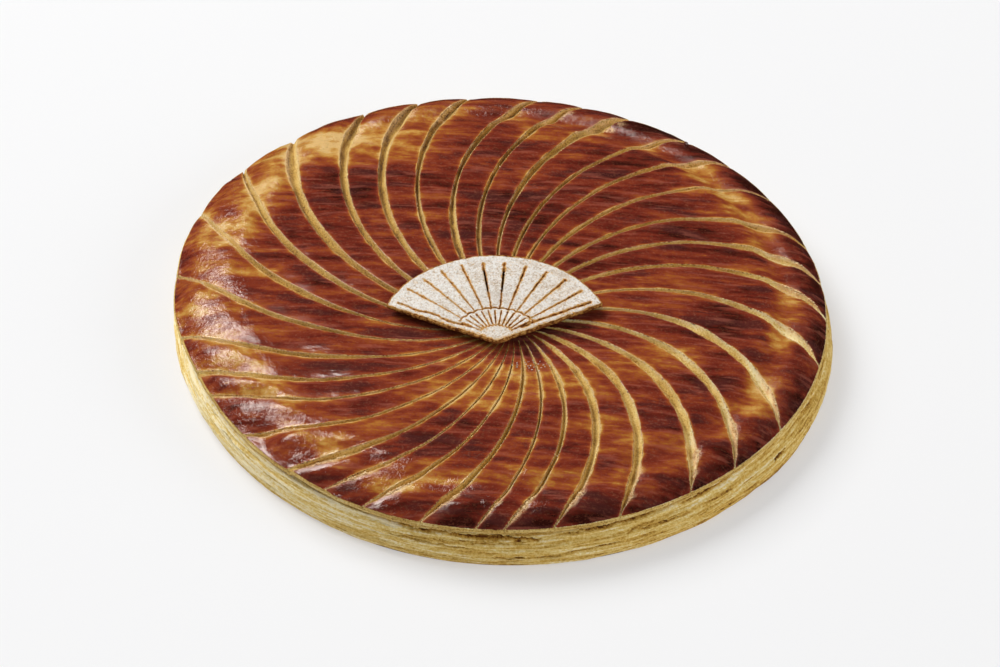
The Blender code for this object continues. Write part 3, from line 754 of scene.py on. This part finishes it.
def fan_relief(x, y):
    """Depth of the pressed and cut lines at each place, and how bare of sugar it is, with painted shade in the two
    slits.
    """
    depth, bare_and_shade = np.zeros_like(x), np.zeros_like(x)

    def groove(distance, half, deep, halo=0.45 * MM):
        """A pressed line: dark at the bottom, with a golden margin free of sugar."""
        nonlocal depth, bare_and_shade
        wobble = 1.0 + 0.35 * noise(x / (1.3 * MM), y / (1.3 * MM), 101)
        wobble = wobble + 0.30 * noise(x / (0.5 * MM), y / (0.5 * MM), 102)
        q = distance / (half * wobble)
        depth = np.maximum(depth, deep * (1.0 - ease(0.35, 1.25, q)))
        line = 1.0 - ease(0.4, 1.3, q)
        margin = 1.0 - ease(half * wobble, half * wobble + halo * wobble, distance)
        core_darkness = 0.40 + 0.22 * noise(x / (3.1 * MM), y / (3.1 * MM), 103)
        dusted = 1.0 - 0.28 * ease(0.0, 0.028, -x)
        bare_and_shade = np.maximum(bare_and_shade, (0.66 * margin + core_darkness * line) * dusted)

    for number in range(RIB_GROOVES):
        angle = RIB_FIRST + number * RIB_STEP
        start, end = fan_polar(RIB_INNER - 0.6 * MM, angle), fan_polar(RIB_OUTER, angle)
        distance, share = segment_distance(x, y, start, end)
        groove(distance, (0.15 + 0.15 * share) * MM, 0.7 * MM, (0.50 + 0.55 * share) * MM)
        # Two of the ribs are cut as deep slits, painted nearly black inside as painted shade.
        if number in (4, 5):
            cut = ease(0.36, 0.46, share) * (1.0 - ease(0.84, 0.92, share))
            cut = cut * (1.0 - ease(0.24, 0.50, distance / MM))
            depth = np.maximum(depth, 3.0 * MM * cut)
            bare_and_shade = np.maximum(bare_and_shade, 2.6 * cut)
    ring_share = (np.arctan2(y - FAN_CENTRE[1], x - FAN_CENTRE[0]) - FAN_START) / (FAN_END - FAN_START)
    ring_share = np.clip(ring_share, *HEAD_SPAN)
    scallops = np.abs(np.sin(ring_share * np.pi * HEAD_SLITS))
    ring_x, ring_y = fan_polar(HEAD_RADIUS + 0.6 * MM * scallops, fan_angle(ring_share))
    groove(np.hypot(x - ring_x, y - ring_y), 0.26 * MM, 0.8 * MM, 0.70 * MM)
    inner_x, inner_y = fan_polar(HEAD_SLIT_INNER - 0.2 * MM - 0.7 * MM * scallops, fan_angle(ring_share))
    groove(np.hypot(x - inner_x, y - inner_y), 0.16 * MM, 0.4 * MM, 0.75 * MM)
    for number in range(-1, HEAD_SLITS + 1):
        part = number / (HEAD_SLITS - 1)
        angle = fan_angle(HEAD_SLIT_SPAN[0] + (HEAD_SLIT_SPAN[1] - HEAD_SLIT_SPAN[0]) * part)
        distance, share = segment_distance(x, y, fan_polar(HEAD_SLIT_INNER, angle),
                                           fan_polar(HEAD_SLIT_OUTER, angle))
        outermost = 0.14 if number in (-1, HEAD_SLITS) else 0.0
        groove(distance, (0.16 + 0.08 * share + outermost) * MM, 0.7 * MM, 0.40 * MM)
    for corner, inward in ((FAN_START, -BORDER_INSET), (FAN_END, BORDER_INSET)):
        start, end = border_line(corner, inward)
        run = math.hypot(*(end - start))
        share = np.clip(((x - start[0]) * (end[0] - start[0])
                         + (y - start[1]) * (end[1] - start[1])) / run ** 2, 0.0, 1.0)
        sway = 0.45 * MM * np.sin(share * 14.0 + 1.0) * (1.0 if inward > 0 else 0.3)
        normal = np.array((-(end - start)[1], (end - start)[0])) / run
        lx = start[0] + share * (end - start)[0] + sway * normal[0]
        ly = start[1] + share * (end - start)[1] + sway * normal[1]
        groove(np.hypot(x - lx, y - ly), 0.40 * MM, 1.0 * MM, 0.95 * MM)
    return depth, bare_and_shade


# Height share, stand out in mm and darkness of the rows down the biscuit's edge.
# The upper four rows are its baked brown side; the four drawn-in rows below are painted nearly black: painted
# shade.
FAN_EDGE = ((0.84, 0.16, 0.72), (0.68, 0.26, 0.86), (0.50, 0.26, 0.92), (0.36, 0.05, 1.0),
            (0.28, -1.0, 1.8), (0.16, -2.2, 2.2), (0.06, -3.0, 2.4), (0.0, -3.4, 2.4))


def build_fan():
    outline = fan_outline()
    heart = np.array(FAN_HEART)
    shares = 1.0 - (1.0 - np.linspace(0.0, 1.0, FAN_ACROSS + 1)[1:]) ** 1.15
    layers, bare_rows, level_rows = [], [], []
    for share in shares:
        place = heart + (outline - heart) * share
        x, y = place[:, 0], place[:, 1]
        inside = np.linalg.norm(outline - place, axis=1)
        depth, bare_and_shade = fan_relief(x, y)
        rounding = 0.75 * MM * (1.0 - np.sqrt(np.clip(1.0 - (1.0 - np.clip(inside / (0.9 * MM), 0, 1)) ** 2, 0, 1)))
        sugar = 0.10 * MM * noise(x / (0.45 * MM), y / (0.45 * MM), 111)
        sugar = sugar + 0.07 * MM * noise(x / (0.9 * MM), y / (0.9 * MM), 112)
        dome = 0.25 * MM * noise(x / 0.014, y / 0.014, 113)
        z = FAN_TOP - 0.35 * MM - depth - rounding + sugar * (1.0 - np.clip(bare_and_shade, 0, 1) * 0.6) + dome
        layers.append(np.stack([x, y, z], 1))
        # The two straight edges are rubbed half bare.
        corner_line = y - fan_polar(FAN_RADIUS, FAN_END)[1] - 0.09 * (x - fan_polar(FAN_RADIUS, FAN_END)[0])
        rubbed = 0.30 * (1.0 - ease(0.9, 2.0, inside / MM)) * (1.0 - ease(-1.5, 0.5, corner_line / MM))
        edge_bare = np.maximum(0.9 * (1.0 - ease(0.10, 0.8, inside / MM)), rubbed)
        bare_rows.append(np.maximum(bare_and_shade, edge_bare))
    # Its edge is thin: below the rim the sole draws in, so it stands in its own shadow; those drawn-in rows are
    # also painted nearly black as painted shade.
    edge = outline
    for level, swell, baked in FAN_EDGE:
        z = FAN_BOTTOM + level * (FAN_TOP - FAN_BOTTOM)
        rough = 0.12 * MM * noise(np.arange(FAN_AROUND) / 4.0, level * 9.0, 114)
        away = edge - heart
        away = away / np.linalg.norm(away, axis=1)[:, None]
        place = edge + away * (swell * MM + rough)[:, None]
        layers.append(np.column_stack([place, np.full(FAN_AROUND, z)]))
        bare_rows.append(np.full(FAN_AROUND, baked))
    for share in (0.7, 0.35):
        place = heart + (outline - heart) * share
        layers.append(np.column_stack([place, np.full(FAN_AROUND, FAN_BOTTOM)]))
        bare_rows.append(np.ones(FAN_AROUND))
    centre_depth, centre_bare = fan_relief(np.array([heart[0]]), np.array([heart[1]]))
    first = np.array([[heart[0], heart[1], FAN_TOP - 0.35 * MM - centre_depth[0]]])
    final = np.array([[heart[0], heart[1], FAN_BOTTOM]])
    vertices = np.concatenate([first, *layers, final])
    rows = len(layers)
    quads = grid_faces(rows, FAN_AROUND, 1)
    j = np.arange(FAN_AROUND)
    k = (j + 1) % FAN_AROUND
    last = 1 + (rows - 1) * FAN_AROUND
    caps = np.concatenate([
        np.stack([np.zeros(FAN_AROUND, int), 1 + j, 1 + k], 1),
        np.stack([np.full(FAN_AROUND, len(vertices) - 1), last + k, last + j], 1)])
    bare_and_shade = np.concatenate([centre_bare, *bare_rows, [1.0]])
    # The sugar is thinner over the head and towards the right.
    from_tip = np.hypot(vertices[:, 0] - FAN_CENTRE[0], vertices[:, 1] - FAN_CENTRE[1])
    worn = 0.22 * (1.0 - ease(7.0 * MM, 11.0 * MM, from_tip))
    worn = worn + 0.14 * ease(-0.01, 0.03, vertices[:, 0])
    piece = build_mesh("sugared_fan", vertices, quads, caps, {"bare_and_shade": bare_and_shade, "worn": worn})
    kinds = [0] * (FAN_ACROSS - 1) + [-1] * len(FAN_EDGE) + [1] * (rows - FAN_ACROSS - len(FAN_EDGE))
    add_map(piece, FAN_AROUND, kinds, ((0.535, 0.859, 10.8), (0.277, 0.229, 5.4)), (2, 0.31, 0.05))
    return piece


# ---- Scattered grains ---------------------------------------------------------------------
def pebble():
    """The 12 corners and 20 faces of an icosahedron."""
    g = (1.0 + math.sqrt(5.0)) / 2.0
    corners = np.array([(-1, g, 0), (1, g, 0), (-1, -g, 0), (1, -g, 0), (0, -1, g), (0, 1, g),
                        (0, -1, -g), (0, 1, -g), (g, 0, -1), (g, 0, 1), (-g, 0, -1), (-g, 0, 1)])
    corners = corners / np.linalg.norm(corners[0])
    faces = np.array([(0, 11, 5), (0, 5, 1), (0, 1, 7), (0, 7, 10), (0, 10, 11), (1, 5, 9),
                      (5, 11, 4), (11, 10, 2), (10, 7, 6), (7, 1, 8), (3, 9, 4), (3, 4, 2),
                      (3, 2, 6), (3, 6, 8), (3, 8, 9), (4, 9, 5), (2, 4, 11), (6, 2, 10),
                      (8, 6, 7), (9, 8, 1)])
    return corners, faces


def scatter(name, places, sizes, seed, flatness=0.7):
    """One mesh of small irregular grains."""
    rng = np.random.default_rng(seed)
    corners, faces = pebble()
    count = len(places)
    lumps = corners[None] * rng.uniform(0.65, 1.2, (count, 12, 1))
    lumps = lumps * rng.uniform(0.6, 1.3, (count, 1, 3))
    spin = rng.uniform(0.0, TURN, count)
    c, s = np.cos(spin)[:, None], np.sin(spin)[:, None]
    x = lumps[..., 0] * c - lumps[..., 1] * s
    y = lumps[..., 0] * s + lumps[..., 1] * c
    lumps = np.stack([x, y, lumps[..., 2] * flatness], -1) * sizes[:, None, None]
    vertices = (lumps + places[:, None, :]).reshape(-1, 3)
    triangles = (faces[None] + 12 * np.arange(count)[:, None, None]).reshape(-1, 3)
    tint = rng.uniform(0.0, 1.0, count).repeat(12)
    piece = build_mesh(name, vertices, np.zeros((0, 4)), triangles, {"tint": tint})
    return piece


# ---- Materials ----------------------------------------------------------------------------
def srgb(r, g, b):
    """Linear colour of an 8-bit display colour."""
    def linear(v):
        v /= 255.0
        return v / 12.92 if v <= 0.04045 else ((v + 0.055) / 1.055) ** 2.4
    return (linear(r), linear(g), linear(b), 1.0)


class Nodes:
    """Short calls for building a material's node tree."""

    def __init__(self, name):
        self.material = bpy.data.materials.new(name)
        self.material.use_nodes = True
        self.tree = self.material.node_tree
        self.shader = self.tree.nodes["Principled BSDF"]

    def link(self, source, target):
        self.tree.links.new(source, target)

    def put(self, socket, value):
        if isinstance(value, bpy.types.NodeSocket):
            self.link(value, socket)
        else:
            socket.default_value = value

    def attribute(self, key):
        node = self.tree.nodes.new("ShaderNodeAttribute")
        node.attribute_name = key
        return node.outputs["Fac"]

    def place(self, scale=(1.0, 1.0, 1.0), shift=(0.0, 0.0, 0.0)):
        coordinates = self.tree.nodes.new("ShaderNodeTexCoord")
        mapping = self.tree.nodes.new("ShaderNodeMapping")
        mapping.inputs["Scale"].default_value = scale
        mapping.inputs["Location"].default_value = shift
        self.link(coordinates.outputs["Object"], mapping.inputs["Vector"])
        return mapping.outputs["Vector"]

    def noise(self, vector, scale=1.0, detail=2.0, roughness=0.5, distortion=0.0):
        node = self.tree.nodes.new("ShaderNodeTexNoise")
        self.put(node.inputs["Vector"], vector)
        node.inputs["Scale"].default_value = scale
        node.inputs["Detail"].default_value = detail
        node.inputs["Roughness"].default_value = roughness
        node.inputs["Distortion"].default_value = distortion
        return node.outputs["Fac"]

    def cells(self, vector, scale, feature="F1"):
        node = self.tree.nodes.new("ShaderNodeTexVoronoi")
        node.feature = feature
        self.put(node.inputs["Vector"], vector)
        node.inputs["Scale"].default_value = scale
        return node.outputs["Distance"]

    def math(self, operation, a, b=0.0, clamp=False):
        node = self.tree.nodes.new("ShaderNodeMath")
        node.operation = operation
        node.use_clamp = clamp
        self.put(node.inputs[0], a)
        self.put(node.inputs[1], b)
        return node.outputs[0]

    def span(self, value, low, high, to_low=0.0, to_high=1.0):
        node = self.tree.nodes.new("ShaderNodeMapRange")
        node.interpolation_type = "SMOOTHSTEP"
        self.put(node.inputs["Value"], value)
        node.inputs["From Min"].default_value = low
        node.inputs["From Max"].default_value = high
        node.inputs["To Min"].default_value = to_low
        node.inputs["To Max"].default_value = to_high
        return node.outputs["Result"]

    def ramp(self, value, stops):
        node = self.tree.nodes.new("ShaderNodeValToRGB")
        elements = node.color_ramp.elements
        while len(elements) < len(stops):
            elements.new(0.5)
        for element, (where, colour) in zip(elements, stops):
            element.position = where
            element.color = srgb(*colour)
        self.put(node.inputs["Fac"], value)
        return node.outputs["Color"]

    def mix(self, share, a, b):
        node = self.tree.nodes.new("ShaderNodeMix")
        node.data_type = "RGBA"
        self.put(node.inputs[0], share)
        self.put(node.inputs[6], a)
        self.put(node.inputs[7], b)
        return node.outputs[2]

    def blend(self, share, a, b):
        node = self.tree.nodes.new("ShaderNodeMix")
        self.put(node.inputs[0], share)
        self.put(node.inputs[2], a)
        self.put(node.inputs[3], b)
        return node.outputs[0]

    def bump(self, height, distance, strength=1.0):
        node = self.tree.nodes.new("ShaderNodeBump")
        node.inputs["Distance"].default_value = distance
        node.inputs["Strength"].default_value = strength
        self.put(node.inputs["Height"], height)
        self.link(node.outputs["Normal"], self.shader.inputs["Normal"])


GLAZE_COLOURS = (
    (0.0, (228, 188, 122)), (0.14, (208, 158, 80)), (0.28, (184, 120, 50)), (0.42, (157, 80, 37)),
    (0.56, (134, 55, 34)), (0.70, (113, 41, 29)), (0.84, (89, 31, 22)), (1.0, (54, 19, 14)),
)
# The darkest stop is reached mostly by the painted shade of the slits and folds.
DOUGH_COLOURS = (
    (0.0, (66, 36, 12)), (0.25, (150, 106, 38)), (0.5, (200, 158, 72)),
    (0.75, (230, 200, 122)), (1.0, (248, 234, 186)),
)


def crust_material():
    n = Nodes("glazed_crust_finish")
    clouds = n.noise(n.place((22.0, 80.0, 60.0)), 1.0, 2.0, 0.5, 0.2)
    bands = n.noise(n.place((55.0, 270.0, 200.0), (3.1, 7.7, 0.0)), 1.0, 2.0, 0.5, 0.15)
    wisps = n.noise(n.place((240.0, 560.0, 400.0), (1.3, 2.9, 0.0)), 1.0, 2.0, 0.6, 0.15)
    grain = n.noise(n.place((820.0, 1080.0, 950.0), (4.4, 1.9, 0.0)), 1.0, 2.0, 0.8)
    mottle = n.noise(n.place((160.0, 160.0, 160.0)), 1.0, 3.0, 0.6)
    blotches = n.noise(n.place((110.0, 150.0, 110.0), (6.0, 2.0, 3.0)), 1.0, 2.0, 0.6)
    brown = n.attribute("brown")
    streaks = n.math("ADD", n.span(bands, 0.30, 0.70, -0.14, 0.14), n.span(wisps, 0.30, 0.70, -0.06, 0.06))
    streaks = n.math("MULTIPLY", streaks, n.span(brown, 0.25, 0.60, 0.35, 1.0))
    blotches = n.math("MULTIPLY", n.span(blotches, 0.30, 0.70, -0.16, 0.16),
                      n.span(brown, 0.30, 0.60, 1.0, 0.15))
    brown = n.math("ADD", brown, n.span(clouds, 0.30, 0.70, -0.15, 0.15))
    brown = n.math("ADD", brown, n.math("ADD", streaks, blotches))
    brown = n.math("ADD", brown, n.span(grain, 0.30, 0.70, -0.07, 0.07))
    scratch = n.noise(n.place((28.0, 520.0, 30.0), (8.0, 3.0, 1.0)), 1.0, 1.0, 0.5, 0.2)
    line = n.math("ABSOLUTE", n.math("SUBTRACT", scratch, 0.5))
    line = n.math("SUBTRACT", 1.0, n.span(line, 0.0, 0.022))
    patchy = n.span(n.noise(n.place((60.0, 150.0, 40.0), (9.0, 4.0, 2.0)), 1.0, 1.0), 0.56, 0.64)
    brown = n.math("SUBTRACT", brown, n.math("MULTIPLY", n.math("MULTIPLY", line, patchy), 0.18))
    glaze = n.ramp(brown, GLAZE_COLOURS)
    # The darkest bands turn a dull plum colour, a few pale ones a milky pink.
    plum = n.noise(n.place((42.0, 170.0, 90.0), (7.0, 2.0, 5.0)), 1.0, 2.0, 0.5, 0.2)
    plum = n.math("MULTIPLY", n.span(plum, 0.48, 0.62, 0.0, 0.65), n.span(brown, 0.56, 0.80))
    glaze = n.mix(plum, glaze, srgb(82, 40, 37))
    milky = n.noise(n.place((60.0, 420.0, 90.0), (2.0, 9.0, 5.0)), 1.0, 2.0, 0.5, 0.2)
    glaze = n.mix(n.span(milky, 0.56, 0.70, 0.0, 0.34), glaze, srgb(170, 94, 76))
    # A fine speckle, as much in the light as in the dark of the glaze: the pale flecks stand in for tiny glints, a
    # painted highlight, and the dark ones are fine grain.
    flecks = n.math("MULTIPLY", n.span(grain, 0.49, 0.68, 0.0, 0.22), n.span(brown, 0.75, 0.95, 1.0, 0.5))
    glaze = n.mix(flecks, glaze, srgb(190, 118, 84))
    glaze = n.mix(n.span(grain, 0.32, 0.51, 0.17, 0.0), glaze, srgb(48, 15, 9))
    porous = n.noise(n.place((1500.0, 1500.0, 1500.0)), 1.0, 3.0, 0.7)
    pores = n.span(n.noise(n.place((1150.0, 1150.0, 1150.0), (5.0, 5.0, 5.0)), 1.0, 2.0, 0.6),
                   0.57, 0.65)
    pores = n.math("MULTIPLY", pores, n.span(n.attribute("dough"), 0.75, 1.0))
    cream = n.math("ADD", n.attribute("cream"), n.span(porous, 0.3, 0.7, -0.14, 0.14))
    cream = n.math("SUBTRACT", cream, n.math("MULTIPLY", pores, 0.26))
    dough = n.ramp(cream, DOUGH_COLOURS)
    torn = n.noise(n.place((1300.0, 1300.0, 1300.0), (2.0, 6.0, 3.0)), 1.0, 3.0, 0.7)
    in_dough = n.math("ADD", n.attribute("dough"), n.span(torn, 0.3, 0.7, -0.30, 0.30))
    in_dough = n.span(in_dough, 0.44, 0.56)
    colour = n.mix(in_dough, glaze, dough)
    lip = n.math("MULTIPLY", n.attribute("lip"), n.span(porous, 0.40, 0.54), True)
    colour = n.mix(lip, colour, srgb(236, 196, 144))
    n.link(colour, n.shader.inputs["Base Color"])
    dry = n.math("MAXIMUM", in_dough, lip)
    dry = n.math("MAXIMUM", dry, n.math("MULTIPLY", n.attribute("matte"), 0.12))
    patches = n.noise(n.place((85.0, 110.0, 85.0), (6.0, 1.0, 4.0)), 1.0, 3.0, 0.6)
    dull = n.math("ADD", patches, n.attribute("dull"))
    glossy = n.math("ADD", n.span(mottle, 0.35, 0.7, 0.07, 0.12), n.span(dull, 0.58, 0.70, 0.0, 0.16))
    n.link(n.blend(dry, glossy, 0.85), n.shader.inputs["Roughness"])
    n.shader.inputs["Specular IOR Level"].default_value = 0.85
    n.shader.inputs["Specular Tint"].default_value = (1.0, 0.93, 0.86, 1.0)
    wrinkles = n.noise(n.place((560.0, 480.0, 560.0)), 1.0, 4.0, 0.62, 0.9)
    height = n.math("MULTIPLY", n.attribute("wrinkle"), n.math("MULTIPLY", wrinkles, 0.62))
    height = n.math("ADD", height, n.math("MULTIPLY", wisps, 0.08))
    height = n.math("ADD", height, n.math("MULTIPLY", grain, 0.030))
    height = n.math("ADD", height, n.math("MULTIPLY", n.math("MULTIPLY", porous, in_dough), 0.6))
    n.bump(height, 0.5 * MM)
    return n.material


def pastry_material():
    n = Nodes("flaky_pastry_finish")
    shade = n.attribute("shade")
    streak = n.noise(n.place((60.0, 60.0, 1300.0)), 1.0, 3.0, 0.65, 0.25)
    speck = n.noise(n.place((900.0, 900.0, 1400.0)), 1.0, 2.0, 0.7)
    tone = n.math("ADD", shade, n.span(streak, 0.3, 0.7, -0.25, 0.25))
    tone = n.math("ADD", tone, n.span(speck, 0.3, 0.7, -0.17, 0.17))
    # Painted shade: the recesses between and inside the layers are darkened.
    tone = n.math("SUBTRACT", tone, n.math("MULTIPLY", n.attribute("recess"), 0.55))
    colour = n.ramp(tone, ((0.0, (104, 60, 20)), (0.25, (186, 140, 58)), (0.5, (220, 180, 90)),
                           (0.8, (240, 214, 140)), (1.0, (252, 236, 194))))
    under = n.ramp(n.noise(n.place((90.0, 90.0, 90.0)), 1.0, 4.0, 0.6),
                   ((0.3, (150, 96, 44)), (0.55, (196, 146, 76)), (0.75, (222, 184, 116))))
    colour = n.mix(n.attribute("baked"), colour, under)
    n.link(colour, n.shader.inputs["Base Color"])
    n.shader.inputs["Roughness"].default_value = 0.8
    n.shader.inputs["Specular IOR Level"].default_value = 0.25
    n.bump(n.math("ADD", streak, n.math("MULTIPLY", speck, 0.5)), 0.35 * MM)
    return n.material


def fan_material():
    n = Nodes("sugared_biscuit_finish")
    dust = n.noise(n.place((1400.0, 1150.0, 1400.0)), 1.0, 3.0, 0.85)
    worn = n.noise(n.place((240.0, 240.0, 240.0), (1.0, 8.0, 0.0)), 1.0, 2.0)
    clumps = n.noise(n.place((700.0, 700.0, 700.0), (3.0, 1.0, 0.0)), 1.0, 3.0, 0.65)
    bare_and_shade = n.attribute("bare_and_shade")
    # Sugar lies where nothing was pressed; between its grains the biscuit shows.
    ragged = n.math("ADD", bare_and_shade, n.span(clumps, 0.3, 0.7, -0.20, 0.20))
    ragged = n.math("ADD", ragged, n.span(dust, 0.3, 0.7, -0.24, 0.24))
    cover = n.math("SUBTRACT", 1.0, n.span(ragged, 0.16, 0.50))
    thin = n.math("ADD", n.span(dust, 0.34, 0.54, 0.0, 1.0), n.span(clumps, 0.3, 0.6, -0.25, 0.25))
    thin = n.math("SUBTRACT", thin, n.span(worn, 0.46, 0.70, 0.0, 0.30))
    thin = n.math("SUBTRACT", thin, n.attribute("worn"))
    cover = n.math("MULTIPLY", cover, thin, True)
    baked = n.math("ADD", bare_and_shade, n.span(clumps, 0.3, 0.7, -0.36, 0.36))
    baked = n.math("MULTIPLY", baked, 0.4)
    # The two darkest stops are reached mostly by the painted shade on the drawn-in sole and in the two slits.
    biscuit = n.ramp(baked, ((0.0, (186, 158, 124)), (0.13, (212, 170, 102)), (0.27, (206, 150, 78)),
                             (0.38, (144, 84, 36)), (0.50, (86, 44, 18)), (0.70, (48, 22, 9)),
                             (1.0, (16, 7, 4))))
    colour = n.mix(cover, biscuit, srgb(240, 236, 230))
    n.link(colour, n.shader.inputs["Base Color"])
    n.shader.inputs["Roughness"].default_value = 0.9
    n.shader.inputs["Specular IOR Level"].default_value = 0.2
    n.bump(n.math("ADD", dust, clumps), 0.3 * MM)
    return n.material


def grain_material(name, dark, light, roughness=0.85):
    n = Nodes(name)
    speck = n.noise(n.place((2200.0, 2200.0, 2200.0)), 1.0, 2.0)
    tone = n.math("ADD", n.attribute("tint"), n.span(speck, 0.3, 0.7, -0.25, 0.25))
    n.link(n.ramp(tone, ((0.0, dark), (1.0, light))), n.shader.inputs["Base Color"])
    n.shader.inputs["Roughness"].default_value = roughness
    n.bump(speck, 0.1 * MM)
    return n.material


FLOOR_GLOW = 0.43         # a lit table, so that the shadows stay pale


def floor_material():
    n = Nodes("pale_floor_finish")
    n.shader.inputs["Base Color"].default_value = (0.47, 0.47, 0.47, 1.0)
    n.shader.inputs["Emission Color"].default_value = (0.99, 0.99, 1.0, 1.0)
    n.shader.inputs["Emission Strength"].default_value = FLOOR_GLOW
    n.shader.inputs["Roughness"].default_value = 0.9
    n.shader.inputs["Specular IOR Level"].default_value = 0.1
    return n.material


# ---- Pieces -------------------------------------------------------------------------------
def add_piece(piece, material, replaced=()):
    piece.data.materials.append(material)
    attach(piece, "root")
    if replaced:
        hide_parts(*replaced)
    return piece


crust = add_piece(build_crust(), crust_material(), ("galette",))
base = add_piece(build_base(), pastry_material(), ("galette",))
fan = add_piece(build_fan(), fan_material(), ("fan_biscuit",))


BUBBLE_PLACE = (0.0745, 0.1005)         # a burnt bubble on the far rim


def sugar_grains():
    rng = np.random.default_rng(7)
    places = vertex_places(fan)
    bare_and_shade = attribute_values(fan, "bare_and_shade")
    top = np.flatnonzero((bare_and_shade < 0.45) & (places[:, 2] > FAN_TOP - 1.6 * MM))
    chosen = rng.choice(top, 5200, replace=False)
    spots = places[chosen] + np.column_stack([rng.normal(0, 0.1 * MM, (5200, 2)),
                                              rng.uniform(-0.02, 0.06, 5200) * MM])
    sizes = rng.uniform(0.09, 0.22, 5200) * MM
    # A pinch of it has fallen on the crust in front of the tip.
    surface = vertex_places(crust)
    fallen = np.hypot((surface[:, 0] - 0.0135) / 8.5, (surface[:, 1] + 0.0480) / 3.2) < MM
    chosen = rng.choice(np.flatnonzero(fallen & (surface[:, 2] > 0.02)), 40, replace=False)
    spots = np.concatenate([spots, surface[chosen] + (0.0, 0.0, 0.12 * MM)])
    sizes = np.concatenate([sizes, rng.uniform(0.14, 0.32, 40) * MM])
    piece = scatter("icing_sugar", spots, sizes, 8)
    return add_piece(piece, grain_material("icing_sugar_finish", (212, 198, 180), (246, 242, 236)))


def crust_crumbs():
    rng = np.random.default_rng(9)
    places = vertex_places(crust)
    lip = attribute_values(crust, "lip")
    chosen = rng.choice(len(places), 3600, p=lip ** 3 / (lip ** 3).sum())
    spots = places[chosen] + rng.normal(0, 0.16 * MM, (3600, 3)) * (1, 1, 0.3)
    sizes = rng.uniform(0.12, 0.30, 3600) * MM * rng.uniform(0.6, 1.3, 3600)
    sizes = sizes * (0.85 + 0.8 * np.clip(lip[chosen] - 0.8, 0.0, 1.0))
    piece = scatter("crust_crumbs", spots, sizes, 10)
    return add_piece(piece, grain_material("crust_crumb_finish", (204, 150, 92), (246, 220, 172)))


def baked_bubble():
    x, y = BUBBLE_PLACE
    surface = vertex_places(crust)
    near = surface[np.argmin(np.hypot(surface[:, 0] - x, surface[:, 1] - y))]
    piece = scatter("baked_bubble", near[None] + (0.0, 0.0, 0.7 * MM), np.array([1.4 * MM]), 11)
    piece.data.shade_flat()
    return add_piece(piece, grain_material("baked_bubble_finish", (44, 20, 14), (96, 40, 24), 0.35))


sugar = sugar_grains()
crumbs = crust_crumbs()
bubble = baked_bubble()


# ---- Floor, light and camera --------------------------------------------------------------
def build_floor():
    size = 3.0
    steps = 24
    line = np.linspace(-size, size, steps)
    x, y = np.meshgrid(line, line)
    vertices = np.column_stack([x.ravel(), y.ravel(), np.full(steps * steps, -0.05 * MM)])
    quads = grid_faces(steps, steps, wrap=False)[:, ::-1]
    floor = build_mesh("floor", vertices, quads)
    floor.data.materials.append(floor_material())
    floor.visible_glossy = False


def soft_box(name, azimuth, elevation, distance, width, height, power, colour=(1.0, 1.0, 1.0)):
    """Area light aimed at the pastry. Azimuth 0 is behind it and 90 on its left."""
    light = bpy.data.lights.new(name, "AREA")
    light.shape = "RECTANGLE"
    light.size, light.size_y = width, height
    light.energy = power
    light.color = colour
    lamp = bpy.data.objects.new(name, light)
    bpy.context.scene.collection.objects.link(lamp)
    a, e = math.radians(azimuth), math.radians(elevation)
    away = Vector((-math.sin(a) * math.cos(e), math.cos(a) * math.cos(e), math.sin(e)))
    lamp.location = away * distance
    lamp.rotation_mode = "QUATERNION"
    lamp.rotation_quaternion = away.to_track_quat("Z", "Y")
    return lamp


def build_world():
    world = bpy.data.worlds.new("studio")
    world.use_nodes = True
    background = world.node_tree.nodes["Background"]
    background.inputs["Color"].default_value = (1.0, 1.0, 1.0, 1.0)
    background.inputs["Strength"].default_value = WORLD_STRENGTH
    world.cycles_visibility.glossy = False
    bpy.context.scene.world = world


WORLD_STRENGTH = 0.30
CAMERA_ELEVATION = math.radians(42.05)
CAMERA_DISTANCE = 1.529
CAMERA_LENS = 135.57
CAMERA_ROLL = math.radians(3.03)
CAMERA_SHIFT = (-0.00060, -0.00244)


def build_camera():
    data = bpy.data.cameras.new("camera")
    data.sensor_width = 36.0
    data.lens = CAMERA_LENS
    data.shift_x, data.shift_y = CAMERA_SHIFT
    data.clip_start, data.clip_end = 0.05, 20.0
    camera = bpy.data.objects.new("camera", data)
    bpy.context.scene.collection.objects.link(camera)
    away = Vector((0.0, -math.cos(CAMERA_ELEVATION), math.sin(CAMERA_ELEVATION)))
    camera.location = away * CAMERA_DISTANCE
    camera.rotation_mode = "QUATERNION"
    turn = away.to_track_quat("Z", "Y")
    roll = Matrix.Rotation(CAMERA_ROLL, 3, away).to_quaternion()
    camera.rotation_quaternion = roll @ turn
    bpy.context.scene.camera = camera


build_floor()
build_world()
key_light = soft_box("key_light", 50, 43, 4.2, 3.1, 2.2, 190.0)
key_light.visible_glossy = False
gloss_light = soft_box("gloss_light", 50, 55, 4.2, 2.6, 1.4, 100.0)
gloss_light.visible_diffuse = False
fill_light = soft_box("fill_light", 255, 24, 4.0, 3.0, 2.0, 54.0)
fill_light.visible_glossy = False
build_camera()
bpy.context.scene.view_settings.view_transform = "Standard"
bpy.context.scene.view_settings.look = "None"
